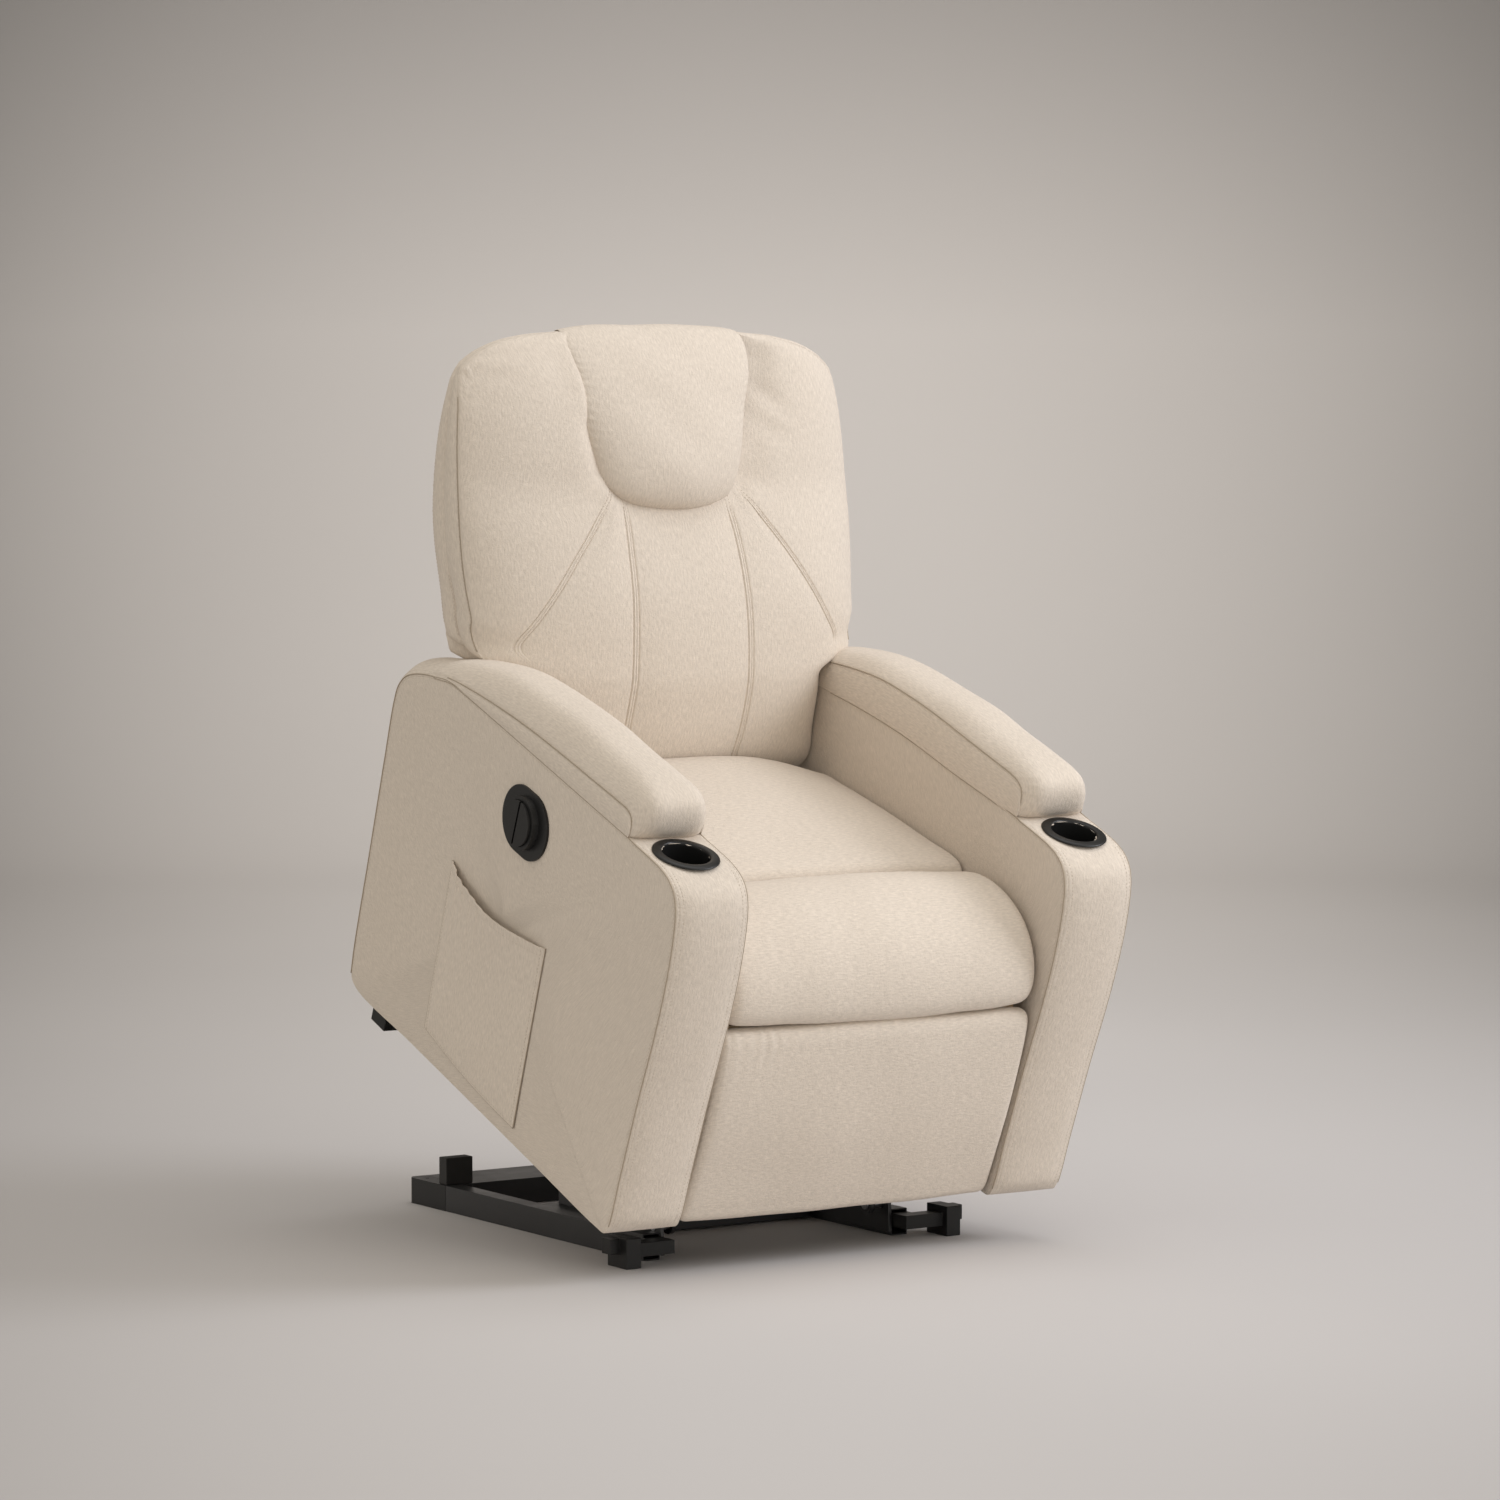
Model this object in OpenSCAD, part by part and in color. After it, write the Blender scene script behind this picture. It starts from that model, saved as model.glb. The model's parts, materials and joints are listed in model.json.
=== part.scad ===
// Lift recliner chair: an upholstered armchair on a powered lift-and-tilt base.
// The chair stands raised, as it is when it helps the sitter up.
// Upholstered parts are drawn as the seated chair, floor at z = 0, and lifted() raises them.
// The base and its links are drawn where they stand on the floor.

/* [Chair] */
// Overall width of the chair, across the two arms
chair_w = 770; // [740:5:820]
// Width of one arm
arm_w = 117; // [105:1:130]
// Height of the arm panel's flat top, seated
arm_top = 588; // [575:1:600]
// Height of the arm panel's underside, seated
panel_bottom = 45; // [44:1:50]
// Depth of the arm panel at the floor, half of it each way
panel_half_d = 387; // [380:1:395]

/* [Lift] */
// Angle that the body tips forward when the chair is fully raised
tip_angle = 21.6; // [21.6]
// Height that the body's datum rises when the chair is fully raised
tip_rise = 167.8; // [167.8]
// Thickness of the lift links
link_t = 8; // [6:0.5:9]
// Half width of the lift links
link_r = 19; // [15:1:20]
// Radius of the lift pivot pins
pin_r = 8; // [6:0.5:8]

/* [Base] */
// Outside half width of the base
base_half_w = 229; // [225:1:232]
// Height of the base's tubes
rail_h = 39; // [34:1:40]
// Width of one side rail
rail_w = 29; // [25:1:30]
// Wall of the steel tubes
wall = 2; // [1.5:0.5:3]

/* [Cup holders] */
// Inside radius of a cup holder
cup_r = 33; // [30:0.5:36]
// Depth of a cup holder
cup_depth = 70; // [55:1:75]
// Radius of a cup holder's rim
rim_r = 48; // [44:0.5:52]

/* [Control] */
// Radius of the pair of half-round buttons
button_r = 33; // [28:0.5:35]
// Travel of each button
button_travel = 3; // [2:0.5:4]

/* [Hidden] */
$fn = 64;
half_w = chair_w / 2;
inner_x = half_w - arm_w;
seat_half = inner_x - 5;
fine = 0.4;
// The origin is the middle of the rear crossbar's underside
crossbar_y = [338, 450];
origin_y = (crossbar_y[0] + crossbar_y[1]) / 2;

// Lift linkage, [y, z]: fixed pivots on the base, moving pivots in the seated body
arm_pivot = [-128, 70];
body_pivot = [157, 138];
front_pivot = [-202, 47];
front_body_pivot = [-101, 75];
arm_angle = 51.83;
arm_len = 361.12;
front_angle = 62.3;
front_len = 173.19;
arm_plane = 184;
front_plane = 168;
open_clear = 1.4;

// Lift actuator: its base clevis, and the lug's pin from the arm pivot
lift_clevis = [318, 62];
lug_r = 105;
lug_angle = 70;
lug_pin = arm_pivot + lug_r * [cos(lug_angle), sin(lug_angle)];
tube_at = 160;
tube_off = 46;
tube_r = 16;
tube_pin = arm_pivot + tube_at * [cos(arm_angle), sin(arm_angle)]
  + tube_off * [-sin(arm_angle), cos(arm_angle)];

// Recline: back pivot, crank pin, actuator clevis, and the footrest's folding links
back_pivot = [376, 440];
crank_r = 170;
crank_angle = -90;
crank_pin = back_pivot + crank_r * [cos(crank_angle), sin(crank_angle)];
recline_clevis = [-150, 170];
leg_pivot = [-200, 280];
leg_len = 220;
leg_a = -89.6;
leg_b = 125.1;
leg_knee = leg_pivot + leg_len * [cos(leg_a), sin(leg_a)];
leg_end = leg_knee + leg_len * [cos(leg_b), sin(leg_b)];

// Plywood back board, leaning with the back: its foot [y, z], slope, top and thickness
board_foot = [330, 400];
board_slope = 0.31;
board_top = 930;
board_t = 20;

cup_at = [half_w - 56, -298];
dial_at = [14, 492];

// ---------- placing ----------

module in_frame() { translate([0, -origin_y, 0]) children(); }

module lifted() {
  in_frame() translate([0, 0, tip_rise]) rotate([tip_angle, 0, 0]) children();
}

// Turn a drawing in [y, z] into a plate from x0 to x0 + t
module plate(x0, t) {
  translate([x0, 0, 0]) rotate([90, 0, 90]) linear_extrude(t) children();
}

module both_sides() {
  children();
  mirror([1, 0, 0]) children();
}

// Round bar along X at p = [y, z], from x0 to x1
module bar(p, r, x0, x1) {
  translate([x0, p[0], p[1]]) rotate([0, 90, 0]) cylinder(r = r, h = x1 - x0);
}

module box(lo, hi) { translate(lo) cube(hi - lo); }

// Rectangular tube along Y, open at its ends
module tube_y(lo, hi) {
  difference() {
    box(lo, hi);
    box([lo[0] + wall, lo[1] - 1, lo[2] + wall], [hi[0] - wall, hi[1] + 1, hi[2] - wall]);
  }
}

// Rectangular tube along X, open at its ends
module tube_x(lo, hi) {
  difference() {
    box(lo, hi);
    box([lo[0] - 1, lo[1] + wall, lo[2] + wall], [hi[0] + 1, hi[1] - wall, hi[2] - wall]);
  }
}

// Flat link with round ends from p to q, both [y, z], holed for its pins
module link(p, q, x0, t, r, hole_p, hole_q) {
  reach = norm(q - p);
  turn = atan2(q[1] - p[1], q[0] - p[0]);
  plate(x0, t) translate(p) rotate(turn) difference() {
    union() {
      circle(r);
      translate([0, -r]) square([reach, 2 * r]);
      translate([reach, 0]) circle(r);
    }
    circle(hole_p);
    translate([reach, 0]) circle(hole_q);
  }
}

// ---------- soft forms ----------

function arc(c, r, a0, a1, n) =
  [for (i = [0:n]) let (a = a0 + (a1 - a0) * i / n) c + r * [cos(a), sin(a)]];

function middle(outline) =
  [(min([for (p = outline) p[0]]) + max([for (p = outline) p[0]])) / 2,
   (min([for (p = outline) p[1]]) + max([for (p = outline) p[1]])) / 2];

function half_size(outline) =
  [(max([for (p = outline) p[0]]) - min([for (p = outline) p[0]])) / 2,
   (max([for (p = outline) p[1]]) - min([for (p = outline) p[1]])) / 2];

// The outline drawn in by d all round
function drawn_in(outline, d) =
  let (c = middle(outline), h = half_size(outline))
  [for (p = outline) [c[0] + (p[0] - c[0]) * (1 - d / h[0]),
                      c[1] + (p[1] - c[1]) * (1 - d / h[1])]];

// Closed skin over a stack of rings of 3-D points; every face is a triangle
module skin(rings) {
  n = len(rings[0]);
  m = len(rings);
  points = [for (ring = rings) each ring];
  last = (m - 1) * n;
  sides = [for (j = [0:m - 2]) for (i = [0:n - 1])
    let (a = j * n + i, b = j * n + (i + 1) % n)
    each [[a, b, b + n], [a, b + n, a + n]]];
  foot = [for (i = [1:n - 2]) [0, i + 1, i]];
  head = [for (i = [1:n - 2]) [last, last + i, last + i + 1]];
  polyhedron(points, concat(sides, foot, head), convexity = 4);
}

// A cushion across X: its [y, z] outline fills out to the middle and draws in at its ends
module pillow(outline, x0, x1, edge, crown) {
  steps = [0, 0.02, 0.06, 0.14, 0.3, 0.5, 0.7, 0.86, 0.94, 0.98, 1];
  skin([for (s = steps)
    let (u = 2 * s - 1, d = edge * pow(abs(u), 14) + crown * pow(u, 2))
    [for (p = drawn_in(outline, d)) [x0 + (x1 - x0) * s, p[0], p[1]]]]);
}

// A level's ring: a bowed front, square sides and a flat back
function level_ring(level) =
  let (z = level[0], h = level[1], edge = level[2], mid = level[3], back = level[4],
       n = 12, r = min(10, (back - edge) / 3))
  concat(
    [for (i = [0:n]) let (u = 2 * i / n - 1)
      [h * u, edge + (mid - edge) * (1 - pow(abs(u), 2.4)), z]],
    [[h, back - r, z], [h - r, back, z], [0, back, z], [r - h, back, z], [-h, back - r, z]]);

// ---------- base ----------

module side_rail() {
  color([0.05, 0.05, 0.055]) in_frame()
    tube_y([base_half_w - rail_w, -222, 0], [base_half_w, crossbar_y[0], rail_h]);
}
module rail_left() { mirror([1, 0, 0]) side_rail(); }
module rail_right() { side_rail(); }

module rear_crossbar() {
  color([0.05, 0.05, 0.055]) in_frame()
    tube_x([-200, crossbar_y[0], 0], [200, crossbar_y[1], rail_h]);
}

// Moulded end of the crossbar, with round corners and one screw hole on top
module crossbar_cap() {
  corner = 12;
  color([0.06, 0.06, 0.065]) in_frame() difference() {
    union() {
      box([200, crossbar_y[0], 0], [base_half_w, crossbar_y[1] - corner, rail_h]);
      box([200, crossbar_y[0], 0], [base_half_w - corner, crossbar_y[1], rail_h]);
      translate([base_half_w - corner, crossbar_y[1] - corner, 0])
        cylinder(r = corner, h = rail_h);
      box([170, crossbar_y[0] + wall + fine, wall + fine],
          [200, crossbar_y[1] - wall - fine, rail_h - wall - fine]);
    }
    translate([214, 418, rail_h - 10]) cylinder(r = 2.5, h = 11);
  }
}
module crossbar_cap_left() { mirror([1, 0, 0]) crossbar_cap(); }
module crossbar_cap_right() { crossbar_cap(); }

module bumper() {
  color([0.03, 0.03, 0.03]) in_frame() box([180, 340, rail_h], [226, 362, 80]);
}
module bumper_left() { mirror([1, 0, 0]) bumper(); }
module bumper_right() { bumper(); }

module base_cross_tube() {
  color([0.05, 0.05, 0.055]) in_frame()
    tube_x([-194, -18, 2], [194, 12, 30]);
}

// Flat steel plate across the rails that carries the power supply
module base_plate() {
  color([0.06, 0.06, 0.065]) in_frame() box([-200, 20, 32], [200, 125, 35]);
}

module power_supply() {
  color([0.08, 0.08, 0.085]) in_frame() box([-165, 30, 35], [-70, 115, 66]);
}

module power_inlet() {
  color([0.02, 0.02, 0.02]) in_frame() box([-130, 115, 41], [-106, 121, 57]);
}

// Foot block beside the rail's front end, the bracket that joins it to the rail, and a stub outside
module front_foot() {
  color([0.04, 0.04, 0.045]) in_frame() {
    box([264, -274, 0], [288, -222, 44]);
    box([288, -256, 20], [304, -232, 42]);
    box([base_half_w, -262, 14], [264, -234, 34]);
    box([base_half_w - rail_w, -262, 14], [base_half_w, -222, 34]);
  }
}
module front_foot_left() { mirror([1, 0, 0]) front_foot(); }
module front_foot_right() { front_foot(); }

module pivot_brackets() {
  color([0.05, 0.05, 0.055]) in_frame() {
    both_sides() plate(194, 6) difference() {
      polygon([[-226, 6], [-84, 6], [-84, 40], [-104, 92], [-150, 92], [-222, 68]]);
      translate(arm_pivot) circle(pin_r);
      translate(front_pivot) circle(pin_r);
    }
    both_sides() plate(16, 6) difference() {
      polygon([[crossbar_y[0], 6], [crossbar_y[0], 38], [326, 82], [304, 82], [300, 46]]);
      translate(lift_clevis) circle(6);
    }
  }
}

module base_pins() {
  color([0.55, 0.55, 0.57]) in_frame() {
    both_sides() bar(arm_pivot, pin_r, arm_plane - 2, 200);
    both_sides() bar(front_pivot, pin_r, front_plane - 2, 200);
    bar(lift_clevis, 6, -22, 22);
  }
}

// ---------- lift links ----------

// Each arm has a lobe that holds the cross tube clear of the rod below it
module lift_arms() {
  far = arm_pivot + arm_len * [cos(arm_angle), sin(arm_angle)];
  lobe_r = tube_r + 7;
  color([0.07, 0.07, 0.075]) in_frame() both_sides() difference() {
    union() {
      link(arm_pivot, far, arm_plane, link_t, link_r, pin_r + 0.05, pin_r + 0.05);
      plate(arm_plane, link_t) translate(arm_pivot) rotate(arm_angle) {
        translate([tube_at - lobe_r, 0]) square([2 * lobe_r, tube_off]);
        translate([tube_at, tube_off]) circle(lobe_r);
      }
    }
    bar(tube_pin, tube_r, arm_plane - 1, arm_plane + link_t + 1);
  }
}

// Cross tube that ties the arms together, with the lugs that the lift rod pushes
module torque_tube() {
  end_x = arm_plane + link_t;
  reach = norm(lug_pin - tube_pin);
  lean = atan2(lug_pin[1] - tube_pin[1], lug_pin[0] - tube_pin[0]);
  color([0.07, 0.07, 0.075]) in_frame() {
    difference() {
      bar(tube_pin, tube_r, -end_x, end_x);
      bar(tube_pin, tube_r - 2.5, -end_x - 1, end_x + 1);
    }
    both_sides() plate(16, 6) difference() {
      translate(tube_pin) rotate(lean) {
        translate([0, -14]) square([reach, 28]);
        translate([reach, 0]) circle(14);
      }
      translate(tube_pin) circle(tube_r);
      translate(lug_pin) circle(5);
    }
    bar(lug_pin, 5, -22, 22);
  }
}

module front_link() {
  far = front_pivot + front_len * [cos(front_angle), sin(front_angle)];
  color([0.07, 0.07, 0.075]) in_frame()
    link(front_pivot, far, front_plane, link_t, 15, pin_r + 0.05, 6 + open_clear);
}
module front_link_left() { mirror([1, 0, 0]) front_link(); }
module front_link_right() { front_link(); }

// ---------- actuators ----------

// Children drawn along +Y are turned to run from p towards q, both [y, z]
module along(p, q) {
  translate([0, p[0], p[1]]) rotate([atan2(q[1] - p[1], q[0] - p[0]), 0, 0]) children();
}

module rod_y(r, y0, y1) { translate([0, y0, 0]) rotate([-90, 0, 0]) cylinder(r = r, h = y1 - y0); }

// Body of a linear actuator along +Y: eye, gearbox, motor beside it, and outer tube
module actuator_body(reach) {
  color([0.09, 0.09, 0.095]) difference() {
    union() {
      bar([0, 0], 13, -12, 12);
      box([-12, 0, -13], [12, 24, 13]);
      box([-19, 20, -20], [62, 48, 20]);
      rod_y(15, 40, reach);
      translate([42, 0, 0]) rod_y(19, 40, 132);
    }
    bar([0, 0], 6.05, -13, 13);
    rod_y(8.05, 60, reach + 1);
  }
}

// Sliding rod of an actuator along +Y, with a slotted eye at its far end
module actuator_rod(start, pin_at) {
  slot = 5;
  eye = 15;
  hole = 9.5;
  color([0.62, 0.62, 0.64]) difference() {
    union() {
      rod_y(8, start, pin_at - 12);
      box([-10, pin_at - eye, -slot], [10, pin_at + eye, slot]);
      for (s = [-slot, slot]) bar([pin_at, s], eye, -10, 10);
    }
    box([-11, pin_at - hole, -slot], [11, pin_at + hole, slot]);
    for (s = [-slot, slot]) bar([pin_at, s], hole, -11, 11);
  }
}

module lift_actuator() { in_frame() along(lift_clevis, lug_pin) actuator_body(325); }
module lift_rod() {
  in_frame() along(lift_clevis, lug_pin) actuator_rod(130, norm(lug_pin - lift_clevis));
}

module recline_actuator() { lifted() along(recline_clevis, crank_pin) actuator_body(425); }
module recline_rod() {
  lifted() along(recline_clevis, crank_pin)
    actuator_rod(145, norm(crank_pin - recline_clevis));
}

// ---------- carriage: the steel frame that the body stands on ----------

module carriage_rails() {
  color([0.06, 0.06, 0.065]) lifted() both_sides() tube_y([201, -262, 84], [228, 300, 114]);
}

module carriage_uprights() {
  color([0.06, 0.06, 0.065]) lifted() both_sides()
    for (y = [-160, 185]) box([201, y, 114], [228, y + 30, 270]);
}

module carriage_cross_bars() {
  color([0.06, 0.06, 0.065]) lifted() {
    box([-201, -262, 98], [201, -240, 114]);
    box([-201, 262, 86], [201, 290, 114]);
    box([-201, -160, 125], [201, -135, 150]);
  }
}

// Welded plates: pivots, arm angles, back stands and the recline motor's clevis
module carriage_brackets() {
  color([0.06, 0.06, 0.065]) lifted() {
    both_sides() {
      plate(195, 6) difference() {
        polygon([[112, 84], [200, 84], [180, 162], [132, 162]]);
        translate(body_pivot) circle(pin_r);
      }
      plate(158, 6) difference() {
        polygon([[-160, 125], [-135, 125], [-86, 82], [-88, 62], [-112, 60], [-160, 104]]);
        translate(front_body_pivot) circle(6);
      }
      for (y = [-158, 187]) {
        box([228, y, 170], [inner_x, y + 26, 174]);
        box([inner_x - 4, y, 174], [inner_x, y + 26, 200]);
      }
      plate(206, 6) difference() {
        union() {
          polygon([[268, 114], [300, 114], [388, 440], [367, 440]]);
          translate(back_pivot) circle(12);
        }
        translate(back_pivot) circle(7);
      }
      plate(14, 6) difference() {
        union() {
          polygon([[-160, 150], [-136, 150], [-139, 170], [-161, 170]]);
          translate(recline_clevis) circle(11);
        }
        translate(recline_clevis) circle(6);
      }
    }
  }
}

module carriage_pins() {
  color([0.55, 0.55, 0.57]) lifted() {
    both_sides() {
      bar(body_pivot, pin_r, arm_plane - 2, 201);
      bar(front_body_pivot, 6, 158, front_plane + link_t + 2);
      bar(back_pivot, 7, 204, 222);
      bar(leg_pivot, 6, 222, 238);
    }
    bar(recline_clevis, 6, -22, 22);
  }
}

// ---------- seat ----------

module seat_side_rails() {
  color([0.72, 0.58, 0.4]) lifted() both_sides() box([180, -335, 270], [222, 245, 330]);
}

// Front rail, and the rear rail in two halves that leave room for the recline rod
module seat_end_rails() {
  color([0.72, 0.58, 0.4]) lifted() {
    box([-180, -335, 270], [180, -300, 330]);
    both_sides() box([34, 215, 270], [180, 245, 330]);
  }
}

// Zigzag wire springs between the front and rear rails
module seat_springs() {
  pitch = 20;
  reach = 36;
  turns = 25;
  wire = 3;
  color([0.6, 0.6, 0.62]) lifted() for (x = [-140:70:140])
    for (i = [0:turns]) {
      y = -300 + i * pitch;
      left = x - reach / 2;
      turn_x = i % 2 == 0 ? left : left + reach;
      box([left, y, 322], [left + reach + wire, y + wire, 322 + wire]);
      box([turn_x, y, 322], [turn_x + wire, min(y + pitch, 215), 322 + wire]);
    }
}

seat_outline = concat(
  [[250, 334]], arc([222, 412], 28, 0, 70, 3),
  [[160, 451], [60, 462], [-40, 468], [-120, 469]],
  arc([-146, 452], 16, 90, 180, 3), [[-162, 334]]);

roll_outline = concat(
  [[-164, 345], [-164, 456]], [[-176, 474], [-204, 487]],
  [[-240, 492], [-282, 487], [-320, 474], [-352, 454]],
  arc([-344, 404], 43, 130, 190, 4), [[-390, 372], [-384, 356], [-366, 348]]);

module seat_cushion() {
  color([0.8, 0.74, 0.65]) lifted()
    pillow(seat_outline, -seat_half, seat_half, 12, 10);
}

module seat_roll() {
  color([0.8, 0.74, 0.65]) lifted()
    pillow(roll_outline, -seat_half, seat_half, 14, 8);
}

// ---------- arms ----------

arm_outline = concat(
  arc([-362, panel_bottom + 25], 25, 270, 180, 5),
  [[-393, 265], [-398, 445]],
  arc([-338, arm_top - 60], 60, 180, 90, 8),
  [[300, arm_top]],
  arc([352, 510], 74, 84, -4, 9),
  arc([375, panel_bottom + 25], 25, 0, -90, 5));

board_outline = [[-330, panel_bottom], [-345, 460], [-240, 540], [300, 540], [370, 480],
                 [350, panel_bottom]];

module arm_cover() {
  color([0.78, 0.72, 0.63]) lifted() difference() {
    plate(inner_x, arm_w) polygon(arm_outline);
    plate(276, 18) polygon(board_outline);
    translate([cup_at[0], cup_at[1], arm_top - cup_depth - 12])
      cylinder(r = cup_r + 3, h = cup_depth + 13);
  }
}
module arm_cover_left() { mirror([1, 0, 0]) arm_cover(); }
module arm_cover_right() { arm_cover(); }

module arm_board() {
  color([0.72, 0.58, 0.4]) lifted() plate(276, 18) polygon(board_outline);
}
module arm_board_left() { mirror([1, 0, 0]) arm_board(); }
module arm_board_right() { arm_board(); }

pad_outline = concat(
  [[318, arm_top + 0.2], [300, 612], [190, 641], [77, 655], [-35, 663], [-121, 663]],
  [[-200, 657], [-240, 648]], arc([-238, 622], 26, 120, 180, 3),
  [[-256, 600], [-230, arm_top + 0.2]]);

module arm_pad() {
  color([0.8, 0.74, 0.65]) lifted()
    pillow(pad_outline, inner_x + 1, half_w - 1, 14, 10);
}
module arm_pad_left() { mirror([1, 0, 0]) arm_pad(); }
module arm_pad_right() { arm_pad(); }

module cup_holder() {
  color([0.03, 0.03, 0.03]) lifted() translate([cup_at[0], cup_at[1], arm_top]) difference() {
    union() {
      translate([0, 0, 0.2]) cylinder(r = rim_r, h = 3.8);
      translate([0, 0, -cup_depth - 3]) cylinder(r = cup_r + 2.5, h = cup_depth + 4);
    }
    translate([0, 0, -cup_depth]) cylinder(r = cup_r, h = cup_depth + 5);
  }
}
module cup_holder_left() { mirror([1, 0, 0]) cup_holder(); }
module cup_holder_right() { cup_holder(); }

// Cloth pocket sewn to the side panel; its mouth stands open
module side_pocket() {
  mouth = 20;
  cloth = 3;
  color([0.76, 0.7, 0.61]) lifted() difference() {
    translate([0, -108, 0]) rotate([90, 0, 0]) mirror([0, 0, 1]) linear_extrude(278)
      polygon([[-half_w, 78], [-half_w - 3, 78], [-half_w - mouth - cloth, 348], [-half_w, 348]]);
    translate([0, -104, 0]) rotate([90, 0, 0]) mirror([0, 0, 1]) linear_extrude(270)
      polygon([[-half_w + 1, 92], [-half_w - 1, 92], [-half_w - mouth, 349], [-half_w + 1, 349]]);
  }
}

// ---------- control ----------

module control_plate() {
  color([0.03, 0.03, 0.03]) lifted() difference() {
    union() {
      for (d = [-13, 13]) bar([dial_at[0] + d, dial_at[1]], 49, -half_w - 6, -half_w);
      box([-half_w - 6, dial_at[0] - 13, dial_at[1] - 49],
          [-half_w, dial_at[0] + 13, dial_at[1] + 49]);
      bar(dial_at, button_r + 6, -half_w - 16, -half_w);
    }
    bar(dial_at, button_r + 0.6, -half_w - 17, -half_w - 2);
  }
}

// Half-round button on the side given by s; each has its own spring below it
module half_button(s) {
  color([0.04, 0.04, 0.04]) lifted() intersection() {
    bar(dial_at, button_r, -half_w - 20, -half_w - 2 - button_travel - 1);
    box([-half_w - 30, dial_at[0] + (s > 0 ? 2 : -60), dial_at[1] - 60],
        [-half_w, dial_at[0] + (s > 0 ? 60 : -2), dial_at[1] + 60]);
  }
}
module button_up() { half_button(-1); }
module button_down() { half_button(1); }

// ---------- lower body ----------

module rear_foot() {
  color([0.04, 0.04, 0.045]) lifted() box([312, 316, 2], [360, 357, panel_bottom]);
}
module rear_foot_left() { mirror([1, 0, 0]) rear_foot(); }
module rear_foot_right() { rear_foot(); }

module rear_skirt() {
  color([0.76, 0.7, 0.61]) lifted() box([-inner_x + 1, 396, 60], [inner_x - 1, 402, 350]);
}

// ---------- back ----------

function board_y(z) = board_foot[0] + board_slope * (z - board_foot[1]);

module back_board() {
  color([0.72, 0.58, 0.4]) lifted() plate(-240, 480)
    polygon([board_foot, [board_y(board_top), board_top],
             [board_y(board_top) + board_t, board_top], board_foot + [board_t, 0]]);
}

// Hinge plates and the crank that the recline rod pulls
module back_brackets() {
  foot = [board_y(400) + board_t, 400];
  high = [board_y(470) + board_t, 470];
  color([0.06, 0.06, 0.065]) lifted() both_sides() {
    plate(214, 6) difference() {
      union() {
        polygon([foot, high, back_pivot + [8, 14], back_pivot + [8, -14]]);
        translate(back_pivot) circle(12);
      }
      translate(back_pivot) circle(7.05);
    }
    plate(14, 6) difference() {
      union() {
        polygon([foot, high, [high[0] + 14, 470], crank_pin + [14, 6], crank_pin + [-14, 2]]);
        translate(crank_pin) circle(14);
      }
      translate(crank_pin) circle(4.9);
    }
    bar(crank_pin, 5, 0, 22);
  }
}

// Levels up the back: height, half width, edge, middle and rear of the cushion
cushion_levels = [
  [400, 252, 306, 300, 329], [440, 262, 277, 243, board_y(440) - fine],
  [500, 263, 283, 231, board_y(500) - fine], [560, 263, 291, 231, board_y(560) - fine],
  [602, 264, 303, 238, board_y(602) - fine], [624, 320, 331, 247, board_y(624) - fine],
  [660, 333, 347, 259, board_y(660) - fine], [720, 339, 376, 288, board_y(720) - fine],
  [780, 341, 406, 334, board_y(780) - fine], [835, 340, 435, 388, board_y(835) - fine],
  [890, 338, 463, 425, board_y(890) - fine], [930.6, 334, 485, 455, board_y(930.6) - fine],
  [931, 334, 485, 455, 552], [965, 327, 510, 485, 558], [990, 310, 524, 505, 562],
  [1010, 275, 530, 515, 562], [1022, 228, 536, 524, 558], [1030, 165, 542, 536, 554]];

// Levels up the rear cover: height, half width and rear
cover_levels = [
  [490, 250, 396], [560, 255, 416], [600, 258, 428], [618, 312, 438], [660, 328, 466],
  [720, 333, 494], [780, 334, 520], [840, 333, 538], [900, 331, 548], [930, 328, 552]];

module back_cushion() {
  color([0.8, 0.74, 0.65]) lifted() skin([for (level = cushion_levels) level_ring(level)]);
}

// Rear cover: flat against the board, bowed out behind
module back_cover() {
  color([0.77, 0.71, 0.62]) lifted() skin([for (level = cover_levels)
    let (z = level[0], h = level[1], rear = level[2], n = 10,
         front = board_y(z) + board_t + fine)
    concat([[-h, front, z], [h, front, z]],
           [for (i = [0:n]) let (u = 1 - 2 * i / n)
             [h * u, front + (rear - front) * (0.75 + 0.25 * (1 - pow(abs(u), 4))), z]])]);
}

// Levels up the headrest pillow: height, half width, edge, middle and rear
pillow_levels = [
  [806, 62, 386, 380, 420], [814, 92, 378, 352, 425], [840, 112, 388, 344, 440],
  [880, 125, 411, 362, 462], [930, 138, 441, 396, 485], [980, 149, 475, 436, 520],
  [1015, 155, 506, 478, 548], [1034, 150, 524, 512, 556], [1042, 138, 536, 530, 556]];

module headrest_pillow() {
  color([0.82, 0.76, 0.67]) lifted() skin([for (level = pillow_levels) level_ring(level)]);
}

// ---------- footrest ----------

module leg_links_rear() {
  color([0.07, 0.07, 0.075]) lifted() both_sides() {
    link(leg_pivot, leg_knee, 230, 6, 12, 6.05, 4.9);
    bar(leg_knee, 5, 230, 246);
  }
}

module leg_links_front() {
  color([0.07, 0.07, 0.075]) lifted() both_sides()
    link(leg_knee, leg_end, 238, 6, 12, 5.05, 5.05);
}

module footrest_board() {
  color([0.72, 0.58, 0.4]) lifted() box([-252, -353, 60], [252, -341, 346]);
}

module footrest_brackets() {
  color([0.06, 0.06, 0.065]) lifted() both_sides() {
    plate(230, 6) difference() {
      union() {
        polygon([[-341, 205], [-341, 275], [-325, 252], [-325, 228]]);
        translate(leg_end) circle(12);
      }
      translate(leg_end) circle(4.9);
    }
    bar(leg_end, 5, 230, 246);
  }
}

module footrest_glides() {
  color([0.04, 0.04, 0.045]) lifted() both_sides() box([238, -353, 42], [260, -341, 60]);
}

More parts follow.
